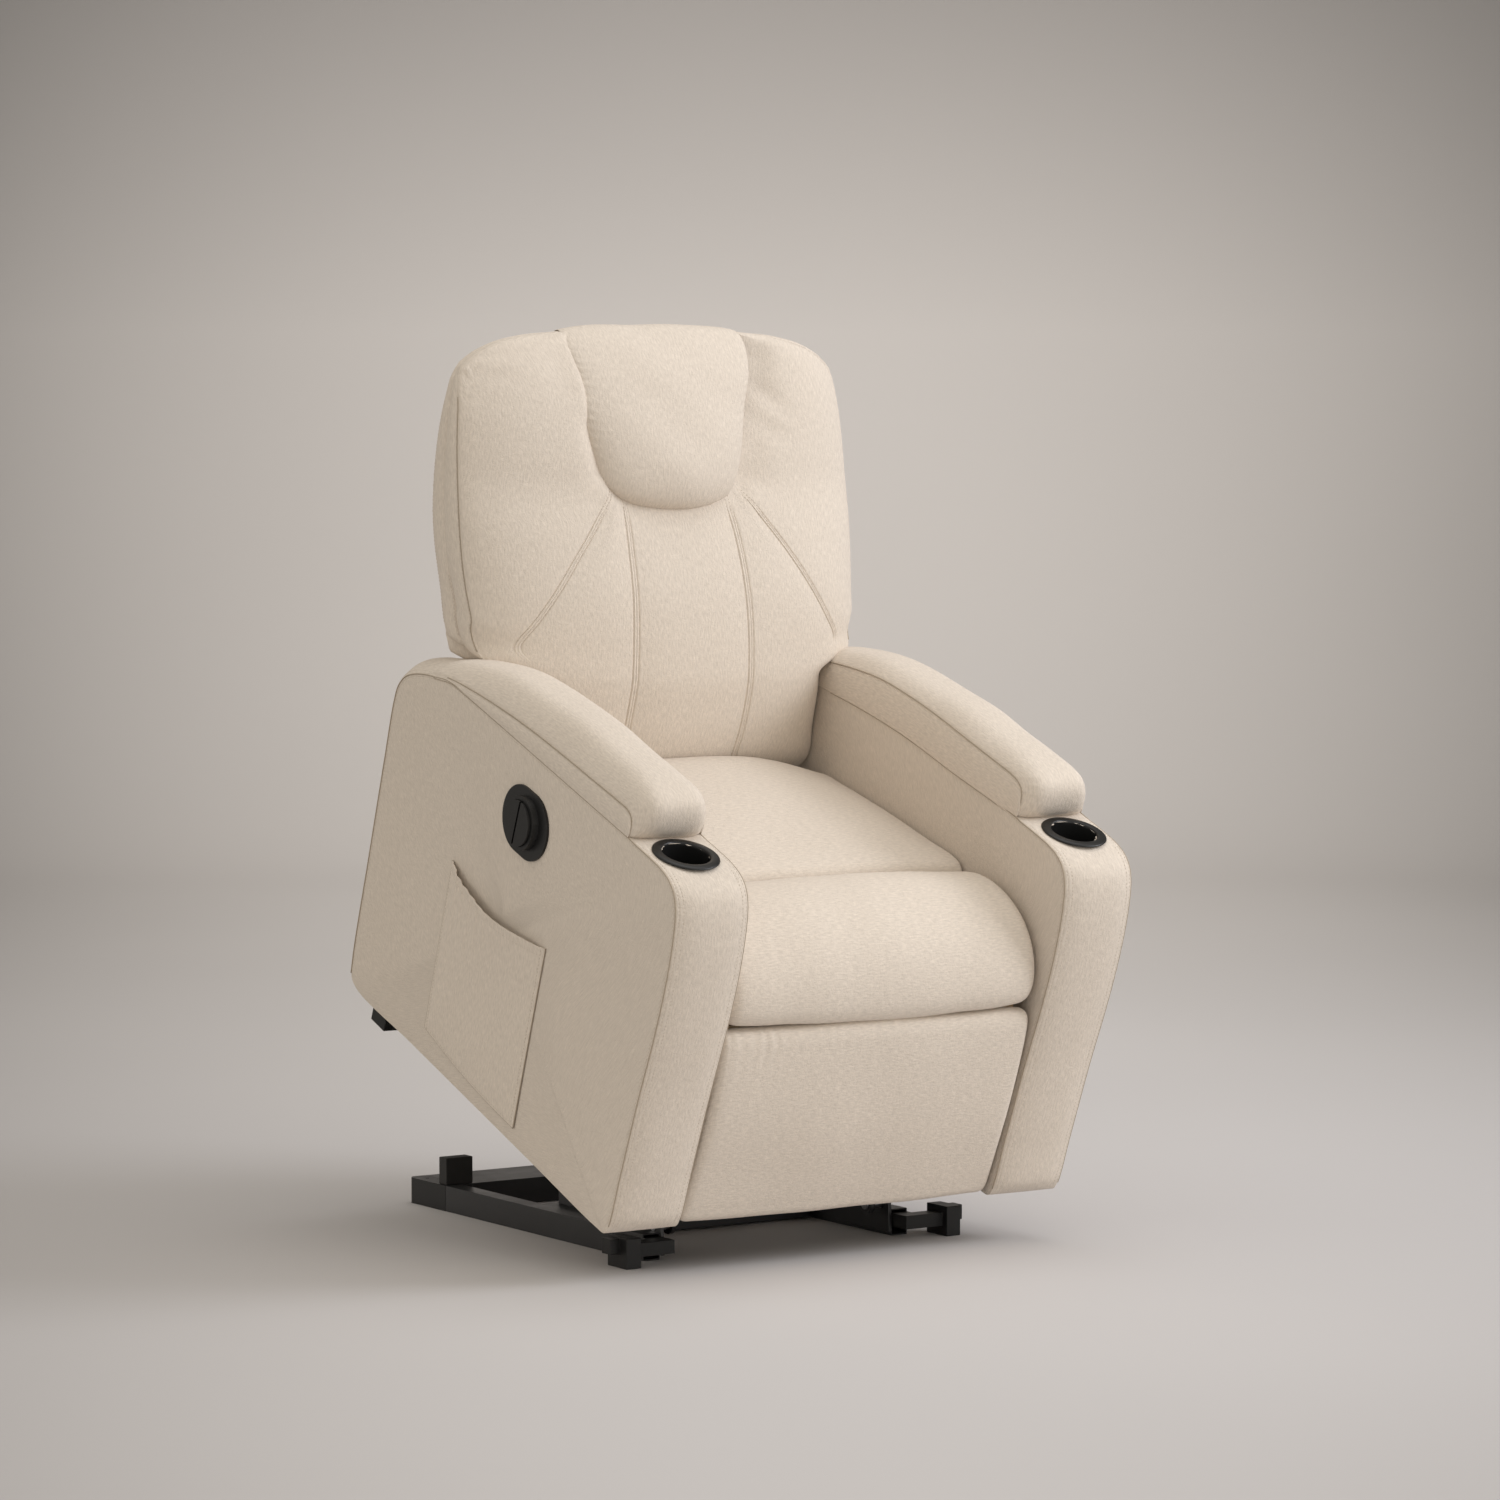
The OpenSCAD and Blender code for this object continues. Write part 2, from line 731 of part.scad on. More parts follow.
footrest_outline = [[-354, 52], [-354, 344], [-374, 346], [-388, 338], [-393, 316],
                    [-397, 262], [-396, 194], [-390, 124], [-383, 66], [-374, 50]];

module footrest_pad() {
  color([0.8, 0.74, 0.65]) lifted()
    pillow(footrest_outline, -seat_half + 1, seat_half - 1, 7, 5);
}

rail_left();
rail_right();
rear_crossbar();
crossbar_cap_left();
crossbar_cap_right();
bumper_left();
bumper_right();
base_cross_tube();
base_plate();
power_supply();
power_inlet();
front_foot_left();
front_foot_right();
pivot_brackets();
base_pins();
lift_arms();
torque_tube();
front_link_left();
front_link_right();
lift_actuator();
lift_rod();
carriage_rails();
carriage_uprights();
carriage_cross_bars();
carriage_brackets();
carriage_pins();
seat_side_rails();
seat_end_rails();
seat_springs();
seat_cushion();
seat_roll();
arm_cover_left();
arm_cover_right();
arm_board_left();
arm_board_right();
arm_pad_left();
arm_pad_right();
cup_holder_left();
cup_holder_right();
side_pocket();
control_plate();
button_up();
button_down();
rear_foot_left();
rear_foot_right();
rear_skirt();
recline_actuator();
recline_rod();
back_board();
back_brackets();
back_cushion();
headrest_pillow();
back_cover();
leg_links_rear();
leg_links_front();
footrest_board();
footrest_brackets();
footrest_glides();
footrest_pad();
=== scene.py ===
"""The looks of a lift recliner chair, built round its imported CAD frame."""

import json
import math

import bmesh
import bpy
import numpy as np
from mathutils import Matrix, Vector


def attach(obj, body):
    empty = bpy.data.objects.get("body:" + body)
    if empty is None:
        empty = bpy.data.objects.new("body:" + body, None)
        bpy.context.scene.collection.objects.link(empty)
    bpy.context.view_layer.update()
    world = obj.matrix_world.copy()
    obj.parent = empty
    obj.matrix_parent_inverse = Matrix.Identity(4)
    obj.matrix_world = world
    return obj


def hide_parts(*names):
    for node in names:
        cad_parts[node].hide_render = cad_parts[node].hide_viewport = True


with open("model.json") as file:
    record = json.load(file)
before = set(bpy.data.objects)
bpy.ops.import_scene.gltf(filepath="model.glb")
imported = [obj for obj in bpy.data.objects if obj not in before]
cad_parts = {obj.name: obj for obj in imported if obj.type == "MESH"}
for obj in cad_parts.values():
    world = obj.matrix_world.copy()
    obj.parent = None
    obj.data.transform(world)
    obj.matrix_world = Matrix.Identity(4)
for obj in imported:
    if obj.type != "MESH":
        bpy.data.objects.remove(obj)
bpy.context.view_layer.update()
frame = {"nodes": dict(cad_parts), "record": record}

# ---------- placing ----------
# Soft pieces are drawn as the seated chair, in millimetres: floor at 0, -Y the way the sitter
# faces. One cup holder's bore, at CUP_BORE there, says where the raised body stands.

MM = 0.001
CUP_BORE = np.array([-329.0, -298.0, 555.0])
BORE = next(m for m in frame["record"]["mounts"] if m["name"] == "cup_holder_left_bore")
UP = np.array(BORE["axis"])
REARWARD = np.array([0.0, UP[2], -UP[1]])
ACROSS = np.array([1.0, 0.0, 0.0])


def raised(points):
    """Points of the seated chair, in mm, where the raised chair has them, in metres."""
    d = (np.asarray(points, float) - CUP_BORE) * MM
    return np.array(BORE["pos_m"]) + d[..., :1] * ACROSS + d[..., 1:2] * REARWARD + d[..., 2:] * UP


# Half widths, and the height of the arms, in mm
ARM_IN = 268.0
ARM_OUT = 385.0
SEAT_HALF = 263.0
ARM_TOP = 588.0


# ---------- curves ----------

def hermite(xs, ys):
    """A smooth function through the points (xs, ys), held level outside them."""
    xs, ys = np.array(xs, float), np.array(ys, float)
    slope = np.gradient(ys, xs, axis=0)

    def value(x):
        x = np.clip(x, xs[0], xs[-1])
        k = np.clip(np.searchsorted(xs, x) - 1, 0, len(xs) - 2)
        w = xs[k + 1] - xs[k]
        t = (x - xs[k]) / w
        if ys.ndim > 1:
            w, t = w[..., None], t[..., None]
        return (ys[k] * (1 + 2 * t) * (1 - t) ** 2 + slope[k] * w * t * (1 - t) ** 2
                + ys[k + 1] * t * t * (3 - 2 * t) - slope[k + 1] * w * t * t * (1 - t))
    return value


def table(*pairs):
    """A smooth function from (x, y) pairs."""
    return hermite([p[0] for p in pairs], [p[1] for p in pairs])


def run_of(points):
    """Distance along a line of points, from its start."""
    return np.concatenate([[0], np.cumsum(np.linalg.norm(np.diff(points, axis=0), axis=1))])


def evenly(points, n):
    """A line of points resampled to n even steps apart."""
    s = run_of(points)
    at = np.linspace(0, s[-1], n)
    return np.stack([np.interp(at, s, points[:, k]) for k in range(points.shape[1])], 1)


def smooth(keys, n, closed=False):
    """n points on a smooth line through keys; a closed line doesn't repeat its first point."""
    keys = np.array(keys, float)
    if closed:
        keys = np.concatenate([keys[-3:], keys, keys[:4]])
    s = np.concatenate([[0], np.cumsum(np.linalg.norm(np.diff(keys, axis=0), axis=1) ** 0.6)])
    line = hermite(s, keys)
    if not closed:
        return evenly(line(np.linspace(0, s[-1], 8 * n)), n)
    return evenly(line(np.linspace(s[3], s[-4], 8 * n)), n + 1)[:-1]


def pad_line(keys):
    """A smooth line along an arm pad: 34 points up its nose to the seventh key, 118 from there."""
    line = smooth(keys, 1600)
    nose = int(np.argmin(np.linalg.norm(line - keys[6], axis=1)))
    return np.concatenate([evenly(line[:nose + 1], 34), evenly(line[nose:], 118)[1:]])


def step(x, x0, x1):
    """0 before x0, 1 after x1, and smooth between."""
    t = np.clip((x - x0) / (x1 - x0), 0, 1)
    return t * t * (3 - 2 * t)


def bump_at(x, centre, width):
    """1 at centre, falling smoothly to nothing a few widths off."""
    return np.exp(-(((x - centre) / width) ** 2))


def crease(x, z, start, end, width):
    """1 along the segment from start to end, fading out sideways and toward its ends."""
    (x0, z0), (x1, z1) = start, end
    dx, dz = x1 - x0, z1 - z0
    t = ((x - x0) * dx + (z - z0) * dz) / (dx * dx + dz * dz)
    away = np.abs((x - x0) * dz - (z - z0) * dx) / math.hypot(dx, dz)
    return np.exp(-((away / width) ** 2)) * step(t, -0.25, 0.3) * (1 - step(t, 0.7, 1.25))


def unit(v):
    return v / np.maximum(np.linalg.norm(v, axis=-1, keepdims=True), 1e-9)


def waves(p, size, seed):
    """Smooth unevenness from -1 to 1 over points in mm; size is the length of one swell."""
    rng = np.random.default_rng(seed)
    total = np.zeros(p.shape[:-1])
    for _ in range(6):
        k = rng.normal(size=3)
        k *= 2 * math.pi / (size * rng.uniform(0.75, 1.5) * np.linalg.norm(k))
        total += np.sin(p @ k + rng.uniform(0, 2 * math.pi))
    return total / 3


# ---------- sewn panels ----------

# Distances from a seam at which a panel has a line of points, in mm
NEAR = np.array([0, 0.9, 1.8, 2.9, 3.7, 4.5, 5.3, 6.2, 8, 11, 16, 23])
STITCH_LINE = 5          # the row of stitching's place in NEAR
FAR_STITCH = 9           # a second row's
WELD_WITHIN = 0.02


def stations(width, middle):
    """Distances across panels of these widths, dense beside both edges: one row for each."""
    width = np.atleast_1d(np.asarray(width, float))[:, None]
    near = NEAR * np.minimum(1, width / 70)
    inner = np.linspace(0, 1, middle + 2)[1:-1]
    rest = near[:, -1:] + (width - 2 * near[:, -1:]) * inner
    return np.concatenate([near, rest, width - near[:, ::-1]], 1)


def pulled_in(d, dip=2.2, thread=0.6):
    """How far a seam and the stitching beside it pull the cloth in, d mm from the seam."""
    return dip * bump_at(d, 0, 1.5) + thread * bump_at(d, NEAR[STITCH_LINE], 1.0)


def topstitched(d):
    """A flat seam between two rows of stitching: each row sinks in and a welt stands between."""
    rows = bump_at(d, NEAR[STITCH_LINE], 1.1)
    seam = 0.9 * bump_at(d, 0, 0.9) - 0.6 * bump_at(d, 2.2, 1.3)
    return 1.9 * rows + seam + 2.2 * bump_at(d, 0, 24)


def puckers(s, d, pitch, reach, seed):
    """Small folds square to a seam: s is the distance along it and d the distance from it."""
    rng = np.random.default_rng(seed)
    phase = 1.4 * np.sin(s / (pitch * 2.3) + rng.uniform(0, 6))
    phase = phase + 0.9 * np.sin(s / (pitch * 5.1) + rng.uniform(0, 6))
    strength = 0.55 + 0.45 * np.sin(s / (pitch * 3.7) + rng.uniform(0, 6))
    return strength * np.sin(2 * math.pi * s / pitch + phase) * np.exp(-d / reach)


class Panel:
    """A grid of points in the seated chair's frame: rows by columns by 3, in mm."""

    def __init__(self, points, outward=1, wrap=False):
        self.p = np.array(points, float)
        self.outward = outward
        self.wrap = wrap

    def normals(self):
        q = self.p
        if self.wrap:
            q = np.concatenate([q[:, -1:], q, q[:, :1]], 1)
        n = np.cross(np.gradient(q, axis=1), np.gradient(q, axis=0)) * self.outward
        return unit(n[:, 1:-1] if self.wrap else n)

    def push(self, amount):
        """Moves every point outward along its normal."""
        self.p = self.p + self.normals() * np.asarray(amount)[..., None]
        return self

    def face(self, way, row=None, col=None):
        """Chooses the outward side by the direction wanted at one point: the middle, if none is given."""
        rows, cols = self.p.shape[:2]
        at = (rows // 2 if row is None else row, cols // 2 if col is None else col)
        return self.turned(self.normals()[at] @ np.array(way, float))

    def face_away(self, centre):
        """Chooses the outward side as the one away from a point."""
        return self.turned(((self.p - centre) * self.normals()).sum())

    def turned(self, sign):
        if sign < 0:
            self.outward = -self.outward
        return self

    def line(self, row=None, col=None):
        """(points, normals) along one row or column."""
        at = (slice(None), col) if row is None else (row, slice(None))
        return self.p[at], self.normals()[at]

    def arcs(self):
        """Distances along the columns and along the rows, for the weave."""
        q = self.p
        u, v = np.zeros(q.shape[:2]), np.zeros(q.shape[:2])
        u[:, 1:] = np.linalg.norm(np.diff(q, axis=1), axis=2).cumsum(1)
        v[1:] = np.linalg.norm(np.diff(q, axis=0), axis=2).cumsum(0)
        return u - u[:, q.shape[1] // 2][:, None], v


def rim_of(grid):
    """A grid's left edge, top and right edge as one line."""
    return np.concatenate([grid[:, 0], grid[-1, 1:-1], grid[::-1, -1]])


def stretched(points, n):
    """n points spaced along the same line as a few."""
    t, u = np.linspace(0, 1, n), np.linspace(0, 1, len(points))
    return np.stack([np.interp(t, u, points[:, k]) for k in range(3)], 1)


def mirrored(panel):
    return Panel(panel.p * [-1, 1, 1], -panel.outward, panel.wrap)


def finish_mesh(name, points, faces, uv, material, body):
    """Makes an object that rides on a body, from welded points in mm of the seated chair."""
    mesh = bpy.data.meshes.new(name)
    mesh.from_pydata(raised(points).tolist(), [], faces)
    if uv is not None:
        layer = mesh.uv_layers.new(name="weave")
        layer.data.foreach_set("uv", np.asarray(uv, np.float32).ravel())
    mesh.polygons.foreach_set("use_smooth", [True] * len(mesh.polygons))
    mesh.materials.append(material)
    obj = bpy.data.objects.new(name, mesh)
    bpy.context.scene.collection.objects.link(obj)
    build = bmesh.new()
    build.from_mesh(mesh)
    bmesh.ops.recalc_face_normals(build, faces=build.faces)
    build.to_mesh(mesh)
    build.free()
    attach(obj, body)
    return obj


def sewn(name, panels, body, slot, cut=None):
    """Welds panels into one smoothed piece; cut says which points a hole takes away."""
    points, faces, uvs, base = [], [], [], 0
    for panel in panels:
        rows, cols = panel.p.shape[:2]
        index = base + np.arange(rows * cols).reshape(rows, cols)
        if panel.wrap:
            index = np.concatenate([index, index[:, :1]], 1)
        faces.append(np.stack([index[:-1, :-1], index[:-1, 1:], index[1:, 1:], index[1:, :-1]],
                              -1).reshape(-1, 4))
        u, v = panel.arcs()
        uvs.append(np.stack([u, v], -1).reshape(-1, 2) * MM)
        points.append(panel.p.reshape(-1, 3))
        base += rows * cols
    points, faces, uvs = np.concatenate(points), np.concatenate(faces), np.concatenate(uvs)
    if cut is not None:
        faces = faces[~np.all(cut(points)[faces], axis=1)]
    _, first, where = np.unique(np.round(points / WELD_WITHIN).astype(int), axis=0, return_index=True,
                                return_inverse=True)
    where = where.ravel()
    used = np.unique(where[faces])
    renumber = np.zeros(len(first), int)
    renumber[used] = np.arange(len(used))
    kept, kept_uv = [], []
    for quad in faces.tolist():
        ring = []
        for corner in quad:
            if where[corner] not in [where[c] for c in ring]:
                ring.append(corner)
        if len(ring) > 2:
            kept.append([int(renumber[where[c]]) for c in ring])
            kept_uv.extend(uvs[ring].tolist())
    obj = finish_mesh(name, points[first][used], kept, kept_uv, MAT[slot], body)
    fine = obj.modifiers.new("fine", "SUBSURF")
    fine.levels = fine.render_levels = 1
    return obj


# Threads and seam folds, in mm
STITCH_PITCH, STITCH_LENGTH, THREAD_RADIUS = 5.4, 4.0, 0.42
FOLD_PITCH = 5.0


def along_line(values, run, at):
    """A line's points or normals at distances along it; run says how far along each was given."""
    return np.stack([np.interp(at, run, values[:, k]) for k in range(3)], 1)


def squared(along, up):
    """Unit vectors along a line, out of the cloth and aside."""
    along = unit(along)
    up = unit(up - (up * along).sum(1, keepdims=True) * along)
    return along, up, np.cross(along, up)


def tubes(name, all_rings, material, body):
    """One object of many closed tubes, each an array of rings by sides by 3, in mm."""
    points, faces = [], []
    for rings in all_rings:
        count, sides = rings.shape[:2]
        index = len(points) + np.arange(count * sides).reshape(count, sides)
        on = np.roll(index, -1, axis=1)
        faces += np.stack([index[:-1], on[:-1], on[1:], index[1:]], -1).reshape(-1, 4).tolist()
        faces += [index[0, ::-1].tolist(), index[-1].tolist()]
        points.extend(rings.reshape(-1, 3).tolist())
    finish_mesh(name, np.array(points), faces, None, material, body)


def round_way(sides):
    """Sines and cosines round a tube, shaped to multiply points."""
    a = np.linspace(0, 2 * math.pi, sides, endpoint=False)[:, None]
    return np.sin(a), np.cos(a)


def stitching(name, lines, body):
    """Stitches along lines of (points, normals): one small thread for each stitch."""
    where = np.array([-0.5, -0.36, 0, 0.36, 0.5])[:, None, None]
    thick = THREAD_RADIUS * np.array([0.25, 0.85, 1, 0.85, 0.25])[:, None, None]
    lift = 0.35 - 1.4 * np.abs(where)
    sine, cosine = round_way(6)
    threads = []
    for line, normal in lines:
        run = run_of(line)
        at = np.arange(STITCH_PITCH / 2, run[-1] - STITCH_PITCH / 2, STITCH_PITCH)
        middles = along_line(line, run, at)
        frames = squared(along_line(line, run, at + 0.5) - middles, along_line(normal, run, at))
        for middle, along, up, aside in zip(middles, *frames):
            out = lift + thick * sine
            threads.append(middle + along * where * STITCH_LENGTH + up * out + aside * thick * cosine)
    tubes(name, threads, MAT["thread"], body)


def seam_folds(name, lines, radius, body, rise=0.1):
    """Folds of cloth along seams, drawn in a darker copy of the cloth that paints the shade in them:
    lines of (points, normals).
    """
    sine, cosine = round_way(8)
    folds = []
    for line, normal in lines:
        run = run_of(line)
        at = np.linspace(0, run[-1], max(4, int(run[-1] / FOLD_PITCH)))
        middles = along_line(line, run, at)
        _, up, aside = squared(np.gradient(middles, axis=0), along_line(normal, run, at))
        folds.append(middles[:, None] + up[:, None] * (rise + radius * sine)
                     + aside[:, None] * radius * cosine)
    # the folds take the darker cloth, which paints the shade along the seam
    tubes(name, folds, MAT["painted_shade_seam_fold"], body)


def corner_line(points, one, other):
    """A seam's line with normals halfway between the two panels that meet there."""
    return points, unit(one + other)


def kept_runs(line, keep):
    """The parts of a (points, normals) line where keep is true, if 4 points long or more."""
    points, normals = line
    parts = np.split(np.arange(len(points)), np.flatnonzero(np.diff(keep.astype(int))) + 1)
    return [(points[part], normals[part]) for part in parts if keep[part[0]] and len(part) >= 4]


# ---------- materials ----------

class Nodes:
    """A material's node tree, with short calls for what its nodes do."""

    def __init__(self, name):
        self.material = bpy.data.materials.new(name)
        self.material.use_nodes = True
        self.tree = self.material.node_tree
        self.shader = self.tree.nodes["Principled BSDF"]
        self.place = self.add("ShaderNodeTexCoord").outputs["Object"]
        self.weave = self.tree.nodes["Texture Coordinate"].outputs["UV"]

    def add(self, kind, **values):
        node = self.tree.nodes.new(kind)
        for key, value in values.items():
            setattr(node, key, value)
        return node

    def link(self, source, target):
        self.tree.links.new(source, target)

    def noise(self, scale, detail=3.0, rough=0.55, at=None, stretch=None):
        node = self.add("ShaderNodeTexNoise")
        node.inputs["Scale"].default_value = scale
        node.inputs["Detail"].default_value = detail
        node.inputs["Roughness"].default_value = rough
        source = at or self.place
        if stretch:
            mapping = self.add("ShaderNodeMapping")
            mapping.inputs["Scale"].default_value = stretch
            self.link(source, mapping.inputs["Vector"])
            source = mapping.outputs["Vector"]
        self.link(source, node.inputs["Vector"])
        return node.outputs["Fac"]

    def math(self, kind, a, b=None):
        node = self.add("ShaderNodeMath", operation=kind)
        for socket, value in zip(node.inputs, (a, b)):
            if isinstance(value, (int, float)):
                socket.default_value = value
            elif value is not None:
                self.link(value, socket)
        return node.outputs[0]

    def fit(self, value, low, high, to_low, to_high):
        node = self.add("ShaderNodeMapRange")
        for name, v in zip(("From Min", "From Max", "To Min", "To Max"), (low, high, to_low, to_high)):
            node.inputs[name].default_value = v
        self.link(value, node.inputs["Value"])
        return node.outputs["Result"]

    def blend(self, share, a, b):
        node = self.add("ShaderNodeMix", data_type="RGBA")
        for socket, value in zip((node.inputs[0], node.inputs[6], node.inputs[7]), (share, a, b)):
            if isinstance(value, (int, float)):
                socket.default_value = value
            elif isinstance(value, tuple):
                socket.default_value = (*value, 1)
            else:
                self.link(value, socket)
        return node.outputs[2]

    def bump(self, height, strength, distance):
        node = self.add("ShaderNodeBump")
        node.inputs["Strength"].default_value = strength
        node.inputs["Distance"].default_value = distance
        self.link(height, node.inputs["Height"])
        return node.outputs["Normal"]

    def done(self, colour=None, roughness=None, normal=None, **plain):
        for name, value in (("Base Color", colour), ("Roughness", roughness), ("Normal", normal)):
            if isinstance(value, tuple):
                self.shader.inputs[name].default_value = (*value, 1)
            elif isinstance(value, (int, float)):
                self.shader.inputs[name].default_value = value
            elif value is not None:
                self.link(value, self.shader.inputs[name])
        for name, value in plain.items():
            self.shader.inputs[name.replace("_", " ")].default_value = value
        return self.material


THREAD_PITCH = 0.0022    # of the weave, in metres
FLECK = 0.085            # how much lighter the palest yarn is


def cloth_material(name, colour):
    """Soft linen-look weave: crossed threads, uneven yarn, and a short nap."""
    n = Nodes(name)
    split = n.add("ShaderNodeSeparateXYZ")
    n.link(n.weave, split.inputs[0])
    mottle = n.noise(210, 2, 0.65)
    threads = 2 * math.pi / THREAD_PITCH
    wander = n.math("MULTIPLY", mottle, 6.0)
    warp = n.math("SINE", n.math("ADD", n.math("MULTIPLY", split.outputs["X"], threads), wander))
    weft = n.math("SINE", n.math("SUBTRACT", n.math("MULTIPLY", split.outputs["Y"], threads), wander))
    slub = n.noise(420, 1, at=n.weave, stretch=(1, 0.22, 1))
    nap = n.noise(620, 1, 0.7)
    light, dark, dull = (tuple(c * (1 + k * FLECK) for c in colour) for k in (1, -1.2, -0.9))
    base = n.blend(n.fit(slub, 0.3, 0.7, 0, 1), dark, light)
    base = n.blend(n.fit(mottle, 0.35, 0.65, 0.0, 0.45), base, dull)
    weave = n.math("MULTIPLY", n.math("MULTIPLY", warp, weft), 0.14)
    fuzz = n.math("MULTIPLY", n.math("ADD", nap, n.math("MULTIPLY", mottle, 1.6)), 0.8)
    height = n.math("ADD", n.math("ADD", weave, n.math("MULTIPLY", slub, 0.55)), fuzz)
    normal = n.bump(height, 0.7, 0.0008)
    return n.done(base, n.fit(nap, 0.3, 0.7, 0.86, 0.97), normal, Sheen_Weight=0.12, Sheen_Roughness=0.5,
                  Specular_IOR_Level=0.15)


def thread_material(colour):
    n = Nodes("sewing_thread")
    twist = n.noise(1500, 2, stretch=(1, 1, 0.4))
    base = n.blend(n.fit(twist, 0.3, 0.7, 0, 1), tuple(c * 0.9 for c in colour), colour)
    return n.done(base, n.fit(twist, 0.3, 0.7, 0.6, 0.8), n.bump(twist, 0.4, 0.0002))


def coat_material(name, colour, rough, grain=700, depth=0.00012, **plain):
    """Moulded plastic, rubber or powder coat: a fine grain with faint smudges."""
    n = Nodes(name)
    fine, smudge = n.noise(grain, 2), n.noise(14, 4, 0.6)
    base = n.blend(n.fit(smudge, 0.3, 0.7, 0, 1), colour, tuple(c * 1.25 for c in colour))
    return n.done(base, n.fit(smudge, 0.3, 0.7, rough * 0.86, min(1, rough * 1.16)),
                  n.bump(fine, 0.5, depth), **plain)


def steel_material(name, colour, rough):
    n = Nodes(name)
    brushed = n.noise(40, 3, 0.6, stretch=(1, 60, 60))
    cloudy = n.noise(25, 3)
    base = n.blend(n.fit(brushed, 0.35, 0.65, 0, 1), tuple(c * 0.85 for c in colour), colour)
    return n.done(base, n.fit(cloudy, 0.3, 0.7, rough * 0.8, rough * 1.25), n.bump(brushed, 0.3, 0.0001),
                  Metallic=1.0)


def plywood_material():
    n = Nodes("birch_plywood")
    grain = n.noise(6, 6, 0.65, stretch=(1, 12, 1))
    pores = n.noise(240, 2, stretch=(1, 0.1, 0.1))
    layers = n.add("ShaderNodeTexWave", wave_type="BANDS", bands_direction="Y")
    layers.inputs["Scale"].default_value = 90
    layers.inputs["Distortion"].default_value = 1.5
    n.link(n.place, layers.inputs["Vector"])
    base = n.blend(n.fit(grain, 0.35, 0.65, 0, 1), (0.50, 0.34, 0.19), (0.68, 0.52, 0.33))
    base = n.blend(n.fit(layers.outputs["Fac"], 0.2, 0.8, 0.0, 0.25), base, (0.36, 0.23, 0.12))
    return n.done(base, n.fit(pores, 0.3, 0.7, 0.5, 0.75), n.bump(pores, 0.4, 0.0003))


CLOTH = (0.715, 0.634, 0.545)
MAT = {"cushion_cloth": cloth_material("cushion_cloth", CLOTH),
       "cover_cloth": cloth_material("cover_cloth", tuple(c * 0.985 for c in CLOTH)),
       "pocket_cloth": cloth_material("pocket_cloth", tuple(c * 1.02 for c in CLOTH)),
       # A darker copy of the cloth, which paints the shade that gathers in the seams' folds
       "painted_shade_seam_fold": cloth_material("painted_shade_seam_fold", tuple(c * k for c, k in zip(CLOTH, (0.60, 0.56, 0.50)))),
       "thread": thread_material((0.62, 0.54, 0.45)),
       "steel_black": coat_material("powder_coat_black", (0.016, 0.016, 0.017), 0.42, 520, 0.0002),
       "plastic_black": coat_material("moulded_black", (0.010, 0.010, 0.010), 0.42,
                                      Specular_IOR_Level=0.32),
       "gloss_black": coat_material("gloss_black", (0.010, 0.010, 0.010), 0.36, 300, 0.00004,
                                    Specular_IOR_Level=0.35),
       "rubber_black": coat_material("rubber_black", (0.020, 0.019, 0.018), 0.78, 900, 0.0003),
       "motor_case": coat_material("motor_case", (0.030, 0.030, 0.032), 0.5, 600, 0.0002),
       "pin_steel": steel_material("pin_steel", (0.56, 0.56, 0.58), 0.32),
       "spring_wire": steel_material("spring_wire", (0.48, 0.48, 0.50), 0.4),
       "plywood": plywood_material(), }


# ---------- the back ----------

# By height: half widths in x, and how far back in y the cushion's edges and middle are. The top,
# at back_top, is by distance from the middle. "full" is the form under the tucked-in sides.
BACK_FOOT, BACK_CORNER = 400.0, 981.0
UPPER_SIDE = ((660, 333), (720, 339), (780, 341), (835, 340), (890, 338), (930, 334), (965, 327))
back_half = table(
    (400, 252), (440, 262), (500, 263), (560, 263), (588, 264), (593, 270), (597, 284), (600, 302),
    (604, 315), (610, 321), (619, 325), (630, 328), *UPPER_SIDE, (981, 318), (990, 309), (1000, 293),
    (1007, 279), (1015, 254), (1021, 228), (1027, 175), (1032, 110), (1036, 30))
back_top = table(
    (0, 1036), (60, 1035), (110, 1032), (175, 1027), (230, 1021), (279, 1007), (304, 993), (318, 981))
back_edge = table(
    (400, 306), (440, 277), (500, 283), (560, 291), (602, 303), (624, 331), (660, 347), (720, 376),
    (780, 406), (835, 435), (890, 463), (930, 485), (965, 508), (981, 520), (990, 524), (1010, 527),
    (1021, 526), (1027, 531), (1036, 538))
back_middle = table(
    (400, 300), (440, 246), (470, 233), (500, 229), (560, 229), (602, 234), (624, 241), (660, 255),
    (720, 287), (780, 334), (835, 388), (890, 425), (930, 455), (965, 485), (990, 505), (1010, 519),
    (1036, 538))
rear_edge = table(
    (400, 340), (460, 352), (490, 372), (530, 386), (569, 400), (600, 412), (620, 428), (660, 452),
    (700, 475), (753, 502), (800, 518), (839, 528), (880, 535), (918, 540), (950, 544), (981, 548),
    (1036, 551))
rear_middle = table(
    (400, 345), (470, 378), (490, 396), (560, 416), (600, 428), (618, 440), (660, 466), (720, 494),
    (780, 520), (840, 538), (900, 549), (930, 553), (965, 558), (990, 561), (1010, 562), (1022, 560),
    (1036, 553))
outer_seam = table(
    (400, 205), (560, 236), (600, 256), (622, 280), (632, 276), (648, 262), (690, 226), (737, 185),
    (780, 141), (817, 104), (850, 100), (900, 124), (981, 150))
inner_seam = table(
    (400, 97), (529, 102), (597, 101), (682, 99), (758, 94), (817, 86), (850, 70), (981, 56))
pillow_half = table((803, 84), (836, 111), (855, 121), (925, 137), (986, 150), (1030, 158))
full_half = table((400, 268), (500, 284), (560, 302), (620, 322), *UPPER_SIDE, (981, 320), (1000, 312),
                  (1036, 300))
